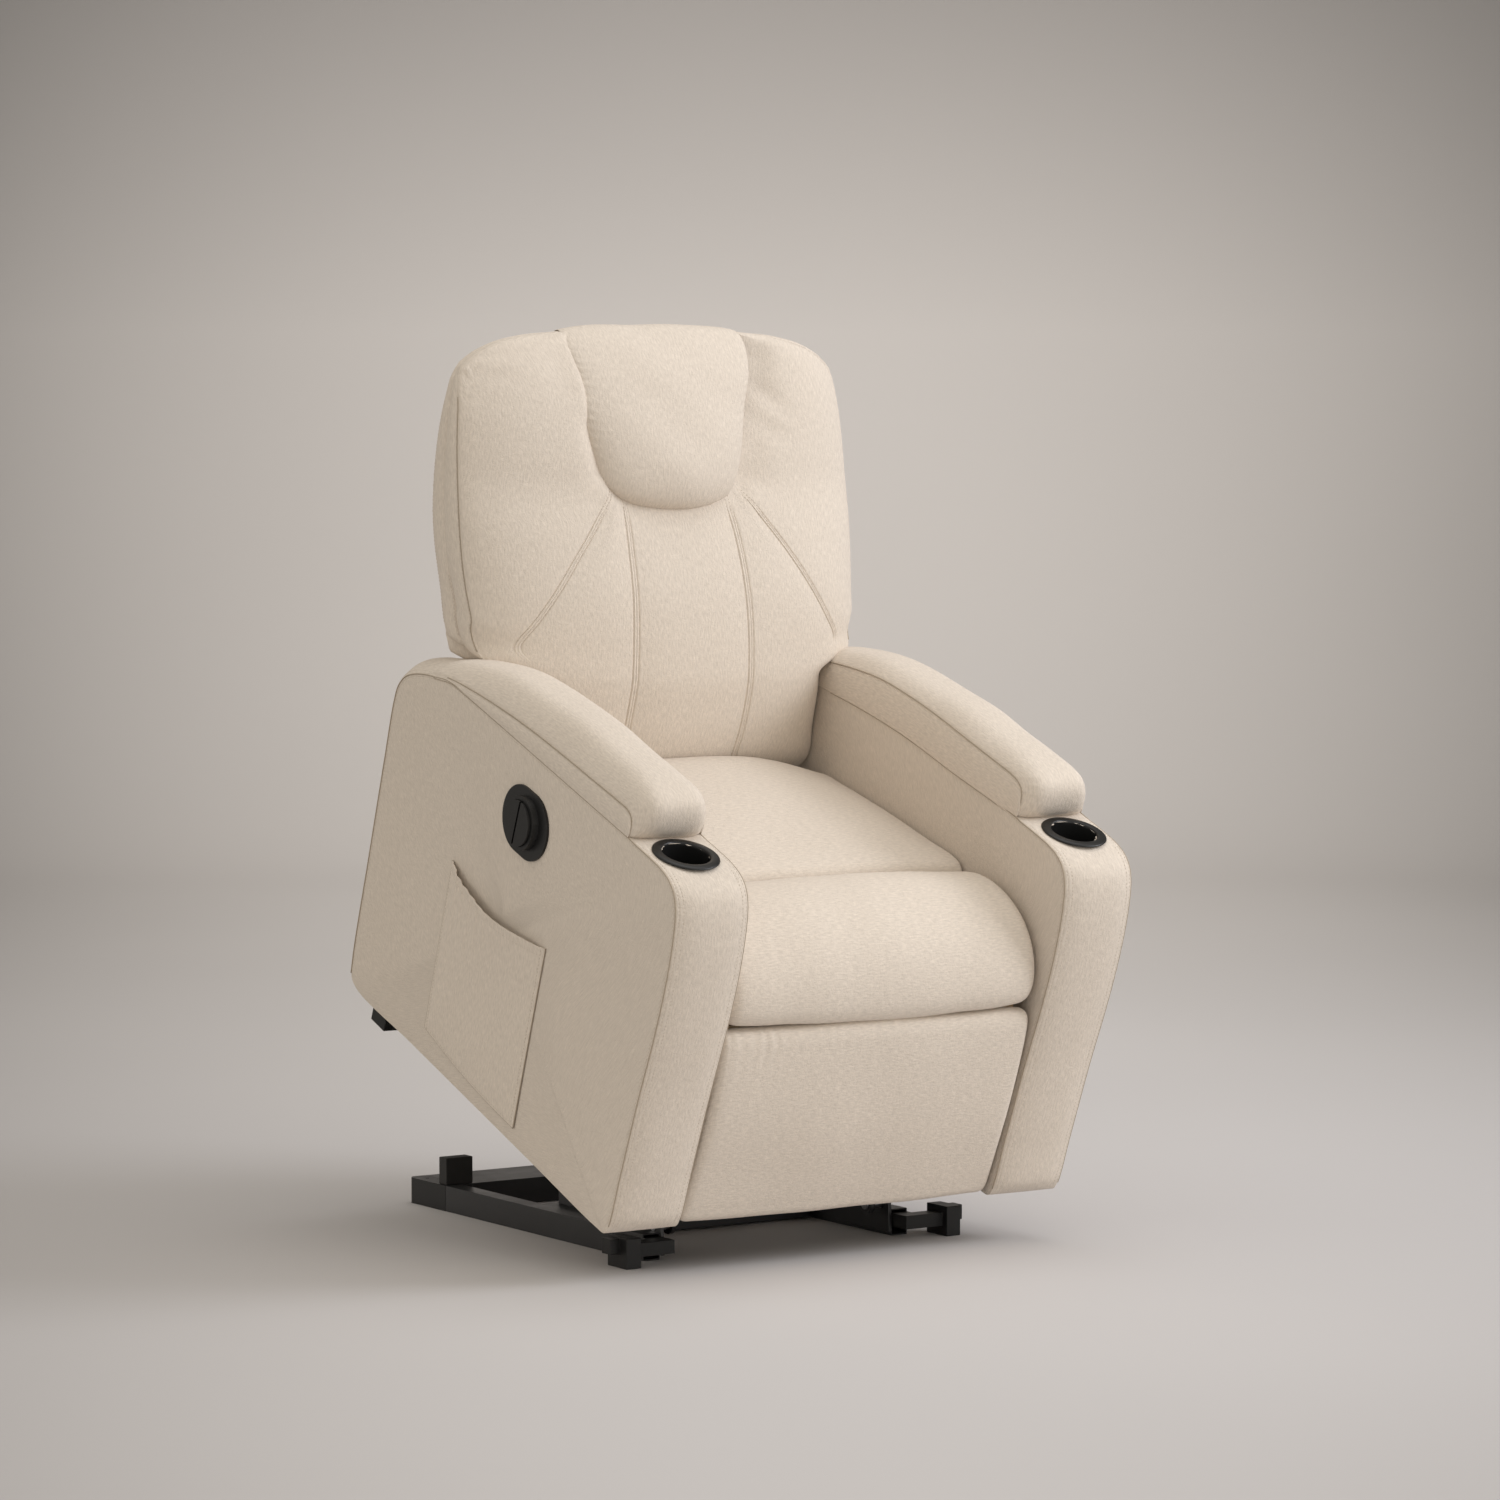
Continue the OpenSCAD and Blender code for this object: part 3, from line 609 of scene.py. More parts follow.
full_edge = table(
    (400, 300), (440, 284), (500, 289), (560, 303), (602, 322), (624, 335), (660, 354), (720, 386),
    (780, 417), (835, 446), (890, 474), (930, 494), (965, 513), (981, 521), (990, 524), (1010, 527),
    (1021, 526), (1027, 531), (1036, 538))
rear_half = table(
    (400, 205), (440, 232), (500, 255), (540, 262), (556, 270), (560, 288), (564, 318), (568, 328),
    (573, 331), (580, 332), (600, 334), (630, 335), (660, 336), (720, 340), *UPPER_SIDE[2:], (981, 318))
wing_rise = table(
    (640, 0), (700, 3), (760, 8), (810, 15), (835, 19), (890, 29), (930, 34), (965, 37), (985, 35),
    (1008, 22), (1030, 5))
REAR_IN = 8.0
ABOVE_ARMS = 612         # the back's rim shows above this height


def back_grid():
    """The height of each row of the front, its grid's x and z, and the columns of its seams."""
    rows = np.concatenate([np.linspace(BACK_FOOT, BACK_CORNER - 24, 78), BACK_CORNER - NEAR[::-1]])
    half, outer, inner = back_half(rows), outer_seam(rows), inner_seam(rows)
    outer = np.minimum(outer, half - 12 - 10 * step(rows, 596, 640))
    edges = [-half, -outer, -inner, inner, outer, half]
    strips = [stations(b - a, 7) + a[:, None] for a, b in zip(edges, edges[1:])]
    x = np.concatenate([strips[0]] + [s[:, 1:] for s in strips[1:]], 1)
    keys = np.cumsum([0] + [s.shape[1] - 1 for s in strips])
    share = (rows - BACK_FOOT) / (BACK_CORNER - BACK_FOOT)
    z = BACK_FOOT + (back_top(np.abs(x)) - BACK_FOOT) * share[:, None]
    return rows, x, z, keys


def wings(x, z, half):
    """How far the back's face stands forward beside the pillow."""
    left = 1 - step(x, -20, 20)
    low = 1 - step(z, 750, 840)
    off_pillow = np.abs(x) - pillow_half(z) - 12 * left * (1 - step(z, 915, 975)) + 6 * (1 - left)
    across = np.clip(off_pillow / (half - pillow_half(z)), 0, 1)
    on_left = step(off_pillow, -24 - 60 * low, 2 + 80 * low) * (1 - across ** 2.4)
    on_right = 0.6 * (1 - (1 - across) ** 2.6) * (1 - across ** 5)
    return wing_rise(z) * (left * on_left + (1 - left) * on_right)


# Folds beside the pillow: depth, the start and end at [x, z], and width
FOLDS = (
    (8.0, (190, 1016), (180, 945), 9), (6.5, (166, 972), (210, 932), 8),
    (5.5, (160, 930), (200, 900), 9), (3.0, (-176, 1010), (-190, 960), 13),
    (3.0, (140, 862), (176, 832), 8), (2.5, (-128, 850), (-150, 822), 9))


def back_face(rows, x, z, keys):
    """The back's front face, with its stitched channels, puckers and folds."""
    half = back_half(z)
    part = np.clip(np.abs(x) / full_half(z), 0, 1)
    y = full_edge(z) + (back_middle(z) - full_edge(z)) * (1 - part ** 2.7) ** 0.64 - wings(x, z, half)
    tuck = back_edge(z) - y[:, [0, -1]].mean(1)[:, None]
    y = y + tuck * np.exp(-np.clip(half - np.abs(x), 0, 400) / 16) * (1 - step(z, 655, 690))
    front = Panel(np.stack([x, y, z], -1)).face((0, -1, 0))
    amount = np.zeros_like(x)
    for k in keys[1:-1]:
        above = step(z, 622, 634) if k in (keys[1], keys[4]) else step(z, 404, 430)
        amount -= topstitched(np.abs(x - x[:, k:k + 1])) * above * (1 - step(z, 806, 826))
    side_gap = np.abs(back_half(rows)[:, None] - np.abs(x))
    top_gap = back_top(np.abs(x)) - z
    gap = np.minimum(side_gap, top_gap)
    amount -= pulled_in(gap, 2.0, 0.0) * step(z, 596, 612) * (1 - step(z, 940, 975))
    amount -= 7 * bump_at(x, pillow_half(z) + 6, 18) * step(z, 800, 850) * (1 - step(z, 1000, 1030))
    amount += 0.5 * puckers(np.where(top_gap < side_gap, x, z), gap, 15, 16, 5) * step(z, 640, 700)
    corner = bump_at(x, -292, 42) * bump_at(z, 985, 34)
    amount += 2.2 * corner * np.sin(2 * math.pi * (x + 0.5 * z) / 17) * step(gap, 1, 8)
    amount += 3.0 * np.clip(1 - (np.abs(x) / 92) ** 2, 0, 1) * step(z, 420, 520) * (1 - step(z, 760, 830))
    for deep, start, end, width in FOLDS:
        amount -= deep * crease(x, z, start, end, width)
    amount += 0.9 * waves(front.p, 120, 3) * step(gap, 4, 40)
    return front.push(amount)


def back_rear(rows, x, z):
    """The back's rear face."""
    rear_x = x * ((rear_half(rows) - REAR_IN) / back_half(rows))[:, None]
    part = np.clip(np.abs(x) / back_half(z), 0, 1)
    rear_y = rear_edge(z) + (rear_middle(z) - rear_edge(z)) * (1 - part ** 2.4)
    rear = Panel(np.stack([rear_x, rear_y, z - 4 * step(z, 900, 981)], -1)).face((0, 1, 0))
    gap = np.minimum(np.abs(np.abs(rear_x[:, :1]) - np.abs(rear_x)), back_top(np.abs(x)) - z)
    slack = 1.6 * waves(rear.p, 150, 8) + 0.6 * puckers(z, gap, 16, 22, 9)
    return rear.push((slack * step(gap, 0, 30) - pulled_in(gap, 2.0)) * step(z, 470, 500))


def back_boxing(front_rim, rear_rim):
    """Two strips from the front face's rim to the rear's; low down a seam shows between them."""
    across = rear_rim - front_rim
    reach = np.linalg.norm(across, axis=1)[:, None]
    run = run_of(front_rim)[:, None]
    strips = []
    for half in (0, 1):
        share = stations(reach[:, 0] / 2, 3) / np.maximum(reach / 2, 1e-6)
        strip = Panel(front_rim[:, None] + across[:, None] * ((share + half) / 2)[..., None])
        strip.face_away((0, 430, 760))
        z = strip.p[..., 2]
        toward_other = 1 - share if half else share
        to_edge = np.minimum(share, 1 - share) * reach / 2
        low_down = 1 - step(z, 655, 720)
        seamed = np.where(toward_other > 0.5, low_down, 1 - 0.9 * step(z, 940, 975))
        swell = 22 * share * (1 - share) + 2.6 * (1 - low_down) * toward_other ** 2
        amount = swell - pulled_in(to_edge, 1.8) * seamed + 0.5 * puckers(run, to_edge, 15, 12, 21)
        strip.push(amount * np.minimum(1, reach / 60) * step(z, 560, 625))
        strip.p[:, 0] = strips[0].p[:, -1] if half else front_rim
        if half:
            strip.p[:, -1] = rear_rim
        strips.append(strip)
    return strips


def make_back():
    rows, x, z, keys = back_grid()
    front, rear = back_face(rows, x, z, keys), back_rear(rows, x, z)
    rim = rim_of(front.p)
    strips = back_boxing(rim, rim_of(rear.p))
    sole = Panel(np.stack([front.p[0] * (1 - f) + rear.p[0] * f for f in np.linspace(0, 1, 5)]))
    back = sewn("back_cushion_and_cover", [front, rear, *strips, sole], "back", "cushion_cloth")
    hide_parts("back_cushion", "back_cover")

    lines = []
    for k, lowest in zip(keys[1:-1], (628, 0, 0, 628)):
        for side in (-STITCH_LINE, STITCH_LINE):
            lines += kept_runs(front.line(col=k + side), (rows > lowest) & (rows < 822))
    at = rim[:, 2]
    for strip, col, top in ((strips[0], 3, 950), (strips[0], -1 - STITCH_LINE, 700),
                            (strips[1], STITCH_LINE, 700), (strips[1], -1 - STITCH_LINE, 2000)):
        lines += kept_runs(strip.line(col=col), (at > ABOVE_ARMS) & (at < top))
    stitching("back_stitching", lines, "back")
    seam = corner_line(rim, rim_of(front.normals()), strips[0].normals()[:, 1])
    fold = (strips[0].p[:, -1], strips[0].normals()[:, -2])
    rims = kept_runs(seam, (at > ABOVE_ARMS) & (at < 945)) + kept_runs(fold,
                                                                       (at > ABOVE_ARMS) & (at < 690))
    seam_folds("back_seam_folds", rims, 0.8, "back", rise=-0.1)


# ---------- the headrest pillow ----------

def make_pillow():
    """A padded bib that hangs down the front of the back and folds over its top."""
    middle = smooth([
        (400, 815), (388, 811), (371, 814), (357, 828), (353, 850), (363, 884), (396, 931), (437, 977),
        (478, 1012), (512, 1032), (540, 1038), (560, 1030), (567, 1008), (565, 985)], 110)
    side = smooth([
        (402, 815), (401, 815), (400, 816), (398, 826), (401, 845), (417, 882), (445, 932), (476, 982),
        (504, 1010), (522, 1022), (542, 1028), (556, 1022), (563, 1006), (562, 985)], 110)
    t = np.linspace(0, 1, 110)
    half = hermite([0, 0.015, 0.035, 0.06, 0.09, 0.13, 0.2, 0.35, 0.5, 0.62, 0.7, 0.78, 0.86, 1.0],
                   [62, 82, 96, 105, 111, 117, 124, 135, 144, 151, 155, 156, 154, 148])(t)
    a = np.sin(np.linspace(-1, 1, 61) * math.pi / 2)
    puff = (1 - np.abs(a) ** 2.05) ** 0.56
    hanging = (step(t, 0.02, 0.15) * (1 - step(t, 0.42, 0.62)))[:, None]
    x = half[:, None] * a - hanging * (7 + 7 * np.clip(-a, 0, 1))
    yz = side[:, None] + (middle - side)[:, None] * puff[None, :, None]
    top = Panel(np.concatenate([x[..., None], yz], -1)).face((0, -1, 0), 30, 30)
    gap = half[:, None] * (1 - np.abs(a))
    foot = run_of(middle)[:, None] + 0 * x
    amount = 1.0 * waves(top.p, 90, 12) * step(gap, 3, 30)
    amount += 0.9 * puckers(foot, gap, 15, 14, 31) * step(gap, 0, 4)
    amount += 0.8 * puckers(x, foot, 17, 16, 33) * step(foot, 0, 6)
    top.push(amount)
    low, high = top.p[:, 0], top.p[:, -1]
    inner = np.stack([low * f + high * (1 - f) for f in (1, 0.98, 0.9, 0.7, 0.5, 0.3, 0.1, 0.02, 0)], 1)
    inner[:, 1:-1, 1] += 5
    ends = [Panel(np.stack([top.p[r], stretched(inner[r], 61)])) for r in (0, -1)]
    pillow = sewn("headrest_cushion", [top, Panel(inner), *ends], "back", "cushion_cloth")
    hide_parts("headrest_pillow")


# ---------- bolsters: the seat, its roll and the footrest ----------

def bolster(outline, half, end_r, crown, ripple, seed, shape, dome=None):
    """A cushion across the chair: its [y, z] outline, rounded at both ends and crowned between."""
    turn = np.linspace(0, math.pi / 2, 9)
    ends = half - end_r * (1 - np.cos(turn))
    drawn = end_r * (1 - np.sin(turn))
    inside = np.linspace(half - end_r, -(half - end_r), 61)[1:-1]
    x = np.concatenate([ends, inside, -ends[::-1]])
    d = np.concatenate([drawn, 0 * inside, drawn[::-1]]) + crown * (x / half) ** 2
    centre = (outline.max(0) + outline.min(0)) / 2
    size = (outline.max(0) - outline.min(0)) / 2
    scale = 1 - d[:, None] / size
    yz = centre + (outline - centre)[None] * scale[:, None]
    body = Panel(np.concatenate([np.broadcast_to(x[:, None, None], (*yz.shape[:2], 1)), yz], -1),
                 wrap=True)
    if dome is not None:
        body.p[..., 2] += dome(body.p)
    body.face_away((0, *centre))
    amount = ripple * waves(body.p, 130, seed) + shape(body.p)
    body.push(amount * step(half - np.abs(x), 0, 20)[:, None])
    caps = []
    for row, side in ((0, 1), (-1, -1)):
        ring = body.p[row]
        mid = ring.mean(0)
        rings = np.stack([mid + (ring - mid) * f for f in (1, 0.94, 0.85, 0.6, 0.3, 0.0)])
        rings[1:, :, 0] += side * np.array([0.6, 1.0, 1.4, 1.6, 1.6])[:, None]
        caps.append(Panel(rings, wrap=True))
    return body, caps


def make_seat():
    seat_line = smooth([
        (247, 340), (247, 380), (243, 410), (236, 430), (222, 440), (163, 449), (90, 457), (27, 463),
        (-68, 470), (-126, 475), (-148, 473), (-160, 462), (-163, 446), (-163, 420), (-163, 380),
        (-163, 340), (-150, 335), (-60, 334), (60, 334), (180, 334), (236, 335)], 170, closed=True)
    seat_rise = table((-164, 4), (-110, 12), (-68, 20), (27, 30), (163, 38), (240, 42))
    roll_line = smooth([
        (-165, 360), (-165, 400), (-165, 440), (-168, 462), (-178, 480), (-200, 492), (-238, 499),
        (-284, 495), (-322, 482), (-354, 460), (-378, 430), (-391, 398), (-393, 374), (-386, 358),
        (-370, 350), (-320, 346), (-260, 345), (-200, 345), (-175, 347)], 170, closed=True)

    def seat_dome(p):
        return seat_rise(p[..., 1]) * (1 - np.abs(p[..., 0] / SEAT_HALF) ** 2.3) * step(p[..., 2], 400,
                                                                                        440)

    def seat_shape(p):
        behind_roll = np.exp(-np.abs(p[..., 1] + 160) / 14) * step(p[..., 2], 440, 470)
        gathers = 0.8 * puckers(p[..., 0], np.abs(p[..., 1] + 163), 21, 30, 41)
        return gathers * step(p[..., 2], 440, 470) - 0.5 * behind_roll

    def roll_shape(p):
        lower = step(-p[..., 1], 340, 380) * np.clip(p[..., 2] - 352, 0, 200)
        near_foot = step(-p[..., 1], 330, 370)
        return (0.8 * puckers(p[..., 0], np.abs(p[..., 1] + 165), 23, 30, 43) * step(p[..., 2], 440, 470)
                + 0.9 * near_foot * puckers(p[..., 0], lower, 19, 26, 44))

    for name, line, end_r, crown, shape, dome, node, seed in (
            ("seat_cushion_cloth", seat_line, 9, 0, seat_shape, seat_dome, "seat_cushion", 51),
            ("seat_roll_cloth", roll_line, 24, 8, roll_shape, None, "seat_roll", 52)):
        body, caps = bolster(line, SEAT_HALF, end_r, crown, 0.9, seed, shape, dome)
        piece = sewn(name, [body, *caps], "carriage", "cushion_cloth")
        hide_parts(node)


def make_footrest():
    line = smooth([
        (-354, 60), (-354, 150), (-354, 250), (-354, 340), (-358, 350), (-368, 353), (-382, 351),
        (-390, 340), (-394, 318), (-397, 262), (-396, 194), (-390, 124), (-384, 72), (-380, 54),
        (-372, 47), (-360, 48)], 190, closed=True)

    def shape(p):
        front = step(-p[..., 1], 368, 382)
        down = np.clip(352 - p[..., 2], 0, 400)
        place = 0.55 + 0.45 * np.tanh(-(p[..., 0] + 60) / 90)
        gathers = puckers(p[..., 0], down, 17, 34, 61) * (0.5 + 1.5 * place)
        return front * (2.1 * gathers + 2.5 * np.sin(math.pi * np.clip(down / 300, 0, 1)))

    body, caps = bolster(line, SEAT_HALF - 1, 13, 4, 1.0, 62, shape)
    pad = sewn("footrest_cloth", [body, *caps], "footrest", "cushion_cloth")
    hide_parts("footrest_pad")


# ---------- the arms ----------

ARM_LINE = [
    (-381, 48), (-387, 62), (-389, 138), (-392, 265), (-397, 361), (-397, 445), (-391, 510), (-382, 548),
    (-370, 568), (-352, 580), (-327, 586), (-290, 588), (-225, 588), (-100, 588), (50, 588), (200, 588),
    (284, 587), (342, 573), (383, 557), (408, 541), (422, 520), (425, 494), (420, 400), (411, 250),
    (400, 80), (394, 55), (376, 46), (200, 45), (0, 45), (-200, 45), (-355, 45)]
CUP_AT = -CUP_BORE[0], CUP_BORE[1]
CUP_HOLE = 40.0
ABOVE_SOLE = 60          # seams are shown above this height


def arm_panels():
    """The band round one arm and its outer and inner side panels, for the arm on +X."""
    line = smooth(ARM_LINE, 330, closed=True)
    run = run_of(line)[:, None]
    d = stations(ARM_OUT - ARM_IN, 9)[0]
    share = d / (ARM_OUT - ARM_IN)
    base = np.concatenate([np.broadcast_to((ARM_IN + d)[None, :, None], (len(line), len(d), 1)),
                           np.broadcast_to(line[:, None], (len(line), len(d), 2))], -1)
    band = Panel(base).face_away(((ARM_IN + ARM_OUT) / 2, 0, 320))
    y, z = line[:, :1], line[:, 1:]
    knuckle = step(y, 270, 340) * step(z, 380, 470)
    face = step(-y, 340, 380)
    under_pad = step(y, -262, -226) * (1 - step(y, 290, 330)) * step(z, 560, 580)
    crown = 2.5 + 6.5 * face * (1 - step(z, 560, 590)) + 17 * knuckle + 3 * step(y, 380, 400)
    bulge = (1 - np.abs(2 * share - 1) ** 2.6)[None]
    to_edge = np.minimum(d, d[-1] - d)[None]
    stitch_far = 0.5 * bump_at(to_edge, 11, 1.2)
    amount = (crown * bulge - pulled_in(to_edge, 1.6) - stitch_far) * (1 - under_pad)
    amount = amount + 0.7 * waves(base, 140, 71) * step(to_edge, 4, 24)
    amount = amount + 0.35 * puckers(run, to_edge, 16, 10, 72) * face
    amount = amount * step(z, 46, 75) - 0.6 * (1 - step(z, 46, 75))
    band.push(amount)

    sides = []
    for x0, col, seed, swell in ((ARM_OUT, -1, 73, 2.6), (ARM_IN, 0, 74, 2.2)):
        edge = band.p[:, col]
        mid = np.array([x0, 20.0, 310.0])
        reach = np.linalg.norm(edge - mid, axis=1)
        rings = np.concatenate([NEAR, [32, 46, 64, 84, 106, 130, 156, 184, 214, 246]])
        share = np.concatenate([1 - rings[:, None] / reach[None],
                                np.linspace(1, 0, 12)[1:, None] * (1 - rings[-1] / reach)[None]])
        p = mid + (edge - mid)[None] * share[..., None]
        side = Panel(p, wrap=True).face((1 if x0 == ARM_OUT else -1, 0, 0), len(rings), 0)
        gap = (1 - share) * reach[None]
        amount = swell * (1 - np.exp(-gap / 26)) - pulled_in(gap, 2.2) + 2.2 * bump_at(gap, 0, 1.0)
        amount = amount + 0.7 * waves(p, 210, seed) * step(gap, 10, 60)
        side.push(np.where(gap < 0.1, 0, amount))
        side.p[0] = edge
        sides.append(side)
    closed_band = Panel(np.concatenate([band.p, band.p[:1]]), band.outward)
    return band, closed_band, sides


def make_arms():
    band, closed_band, sides = arm_panels()
    for name, sign in (("right", 1), ("left", -1)):
        panels, face = [closed_band, *sides], [band, *sides]
        if sign < 0:
            panels, face = [mirrored(p) for p in panels], [mirrored(p) for p in face]

        def near_cup(p):
            off = np.hypot(p[:, 0] - sign * CUP_AT[0], p[:, 1] - CUP_AT[1])
            return (off < CUP_HOLE) & (p[:, 2] > ARM_TOP - 28)

        arm = sewn("arm_upholstery_" + name, panels, "carriage", "cover_cloth", cut=near_cup)
        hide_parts("arm_cover_" + name)
        lines, rims = [], []
        for panel, col in ((face[0], STITCH_LINE), (face[0], -1 - STITCH_LINE)):
            p = panel.p[:, col]
            bare = ~((p[:, 2] > 570) & (p[:, 1] > -262) & (p[:, 1] < 300)) & (p[:, 2] > ABOVE_SOLE)
            lines += kept_runs(panel.line(col=col), bare)
        for col in (FAR_STITCH, -1 - FAR_STITCH):
            p = face[0].p[:, col]
            lines += kept_runs(face[0].line(col=col), (p[:, 1] < -330) & (p[:, 2] > ABOVE_SOLE))
        for side, col in ((face[1], -1), (face[2], 0)):
            shown = side.p[0][:, 2] > ABOVE_SOLE
            lines += kept_runs(side.line(row=STITCH_LINE), shown)
            rims += kept_runs(corner_line(side.p[0], face[0].normals()[:, col], side.normals()[1]), shown)
        seam_folds("arm_seam_folds_" + name, rims, 0.9, "carriage")
        stitching("arm_stitching_" + name, lines, "carriage")


def pad_panels():
    """An arm's padded top: a crowned sheet over boxing strips that grow toward the front."""
    middle = pad_line([(-242, 588), (-254, 602), (-259, 622), (-257, 640), (-247, 652), (-228, 659),
                       (-200, 662), (-121, 664), (-35, 665), (77, 657), (190, 644), (290, 616),
                       (335, 598), (356, 580)])
    outer = pad_line([(-234, 588), (-235, 602), (-233, 612), (-227, 619), (-214, 623), (-190, 623),
                      (-170, 623), (-128, 622), (-29, 620), (86, 615), (201, 604), (284, 592), (325, 582),
                      (346, 572)])
    inner = pad_line([(-235, 588), (-238, 604), (-238, 618), (-233, 630), (-219, 638), (-196, 641),
                      (-170, 641), (-94, 641), (15, 641), (80, 638), (151, 631), (255, 607), (320, 586),
                      (348, 572)])
    n = len(middle)
    a = np.sin(np.linspace(-1, 1, 45) * math.pi / 2)
    squareness = 3.3 + 2.2 * (1 - step(np.arange(n), 14, 40))
    puff = 1 - np.abs(a)[None] ** squareness[:, None]
    side = np.where(a[None, :, None] < 0, inner[:, None], outer[:, None])
    yz = side + (middle[:, None] - side) * puff[..., None]
    half = (ARM_OUT - ARM_IN) / 2 - 0.5
    x = (ARM_IN + ARM_OUT) / 2 + half * a
    across = np.broadcast_to(x[None, :, None], (n, len(a), 1))
    top = Panel(np.concatenate([across, yz], -1)).face((0, 0, 1))
    gap = (half - half * np.abs(a))[None]
    run = run_of(middle)[:, None]
    amount = 0.9 * waves(top.p, 100, 81) * step(gap, 2, 20) - 1.0 * bump_at(gap, 0, 1.4)
    amount = amount + 0.7 * puckers(run, gap, 15, 10, 82) * step(gap, 0, 3)
    top.push(amount)
    inner_foot = table((-235, 587), (-190, 586), (-90, 582), (73, 578), (200, 566), (274, 556),
                       (350, 545))
    strips = []
    for col, x0, turn in ((0, ARM_IN, -1), (-1, ARM_OUT, 1)):
        edge = top.p[:, col]
        foot = edge.copy()
        if x0 == ARM_IN:
            foot[:, 0] = ARM_IN - 3.6 * step(edge[:, 1], -228, -190)
            foot[:, 2] = inner_foot(edge[:, 1])
        else:
            foot[:, 0] = ARM_OUT + 1.0
            foot[:, 2] = np.minimum(edge[:, 2] - 0.2, ARM_TOP - 1 - 14 * step(edge[:, 1], 270, 340))
        tall = edge[:, 2] - foot[:, 2]
        t = stations(tall, 3) / np.maximum(tall, 1e-6)[:, None]
        strip = Panel(edge[:, None] + (foot - edge)[:, None] * t[..., None]).face((turn, 0, 0), col=8)
        to_edge = np.minimum(t, 1 - t) * tall[:, None]
        full = np.minimum(1, tall / 25)[:, None]
        strip.push((8.8 * t * (1 - t) - pulled_in(to_edge, 1.6, 0.5)) * full)
        strip.p[:, 0] = edge
        strips.append(strip)
    feet = [strip.p[:, -1] for strip in strips]
    sole = Panel(np.stack([feet[0] * (1 - f) + feet[1] * f for f in np.linspace(0, 1, 7)], 1))
    nose = [Panel(np.stack([top.p[r], stretched(sole.p[r], len(a))])) for r in (0, -1)]
    return [top, *strips, sole, *nose]


def make_arm_pads():
    panels = pad_panels()
    for name, use in (("right", panels), ("left", [mirrored(p) for p in panels])):
        pad = sewn("arm_top_" + name, use, "carriage", "cushion_cloth")
        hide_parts("arm_pad_" + name)
        lines, rims, feet = [], [], []
        for strip, first, last in ((use[1], -190, 260), (use[2], -236, 330)):
            at = strip.p[:, -1, 1]
            feet += kept_runs(strip.line(col=-1), (at > first) & (at < last))
        seam_folds("arm_top_foot_folds_" + name, feet, 0.6, "carriage", rise=0)
        for strip, col in ((use[1], 0), (use[2], -1)):
            crown = use[0].line(col=col)
            lines += kept_runs(use[0].line(col=2 if col == 0 else -3), crown[0][:, 1] < 262)
            rims += kept_runs(corner_line(crown[0], crown[1], strip.normals()[:, 1]),
                              crown[0][:, 1] < 300)
        seam_folds("arm_top_seam_folds_" + name, rims, 0.8, "carriage")
        stitching("arm_top_stitching_" + name, lines, "carriage")


# ---------- the side pocket and the rear skirt ----------

CLOTH_THICK = 2.0


def cloth_sheet(name, grid, way, slot):
    """A sheet of cloth with its thickness, from the grid of the face that looks the given way."""
    outer = Panel(grid).face(way)
    inner = Panel(outer.p - outer.normals() * CLOTH_THICK, -outer.outward)
    rims = [Panel(np.stack([outer.p[at], inner.p[at]]))
            for at in (np.s_[0], np.s_[-1], np.s_[:, 0], np.s_[:, -1])]
    return outer, sewn(name, [outer, inner, *rims], "carriage", slot)


POCKET_ACROSS, POCKET_UP = 279, 255


def make_pocket():
    mouth = table(
        (-106, 351), (-80, 347), (-56, 344), (-2, 337), (56, 334), (102, 339), (143, 345), (168, 353))
    u = np.linspace(0, 1, 90)
    hem_rows = 1 - np.array([12, 8, 5, 3, 1.5, 0]) / 260
    v = np.concatenate([NEAR[:8] / 250, np.linspace(0.05, 0.93, 34), hem_rows])
    uu, vv = np.meshgrid(u, v)
    front_edge, width = -112 + 12 * vv, 276 + 3 * vv
    y = front_edge + width * uu
    foot = 71 + 19 * uu - 6 * np.sin(math.pi * uu)
    z = foot + (mouth(y) - foot) * vv
    open_by = 10 * np.clip(np.sin(math.pi * uu), 0, 1) ** 0.75 * vv ** 4
    across = np.minimum(uu, 1 - uu) * POCKET_ACROSS
    up = vv * POCKET_UP
    swell = 4.5 * (1 - np.exp(-across / 22)) * (1 - np.exp(-up / 26))
    under = (1 - vv) * POCKET_UP
    front = np.exp(-uu * 1.2)
    gathers = puckers(y, under, 23, 110, 91) * (1.4 + 2.2 * front) * step(across, 0, 25)
    gathers = gathers + puckers(y, under, 8.5, 16, 93) * 1.5 * step(across, 0, 12)
    slack = 0.9 * waves(np.stack([0 * y, y, z], -1), 90, 92) * step(across, 0, 30) * step(up, 0, 30)
    hem = 0.8 * bump_at(under, 12.5, 1.6)
    x = -ARM_OUT - 5.0 - open_by - swell - gathers - slack + hem
    grid = np.stack([x, y, z], -1)
    outer, pocket = cloth_sheet("side_pocket_cloth", grid, (-1, 0, 0), "pocket_cloth")
    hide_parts("side_pocket")
    lines = [outer.line(row=-len(hem_rows)), outer.line(row=STITCH_LINE), outer.line(col=2),
             outer.line(col=-3)]
    stitching("side_pocket_stitching", lines, "carriage")
    rims = [outer.line(row=0), outer.line(col=0), outer.line(col=-1)]
    seam_folds("side_pocket_seam_folds", rims, 0.8, "carriage", rise=-1)


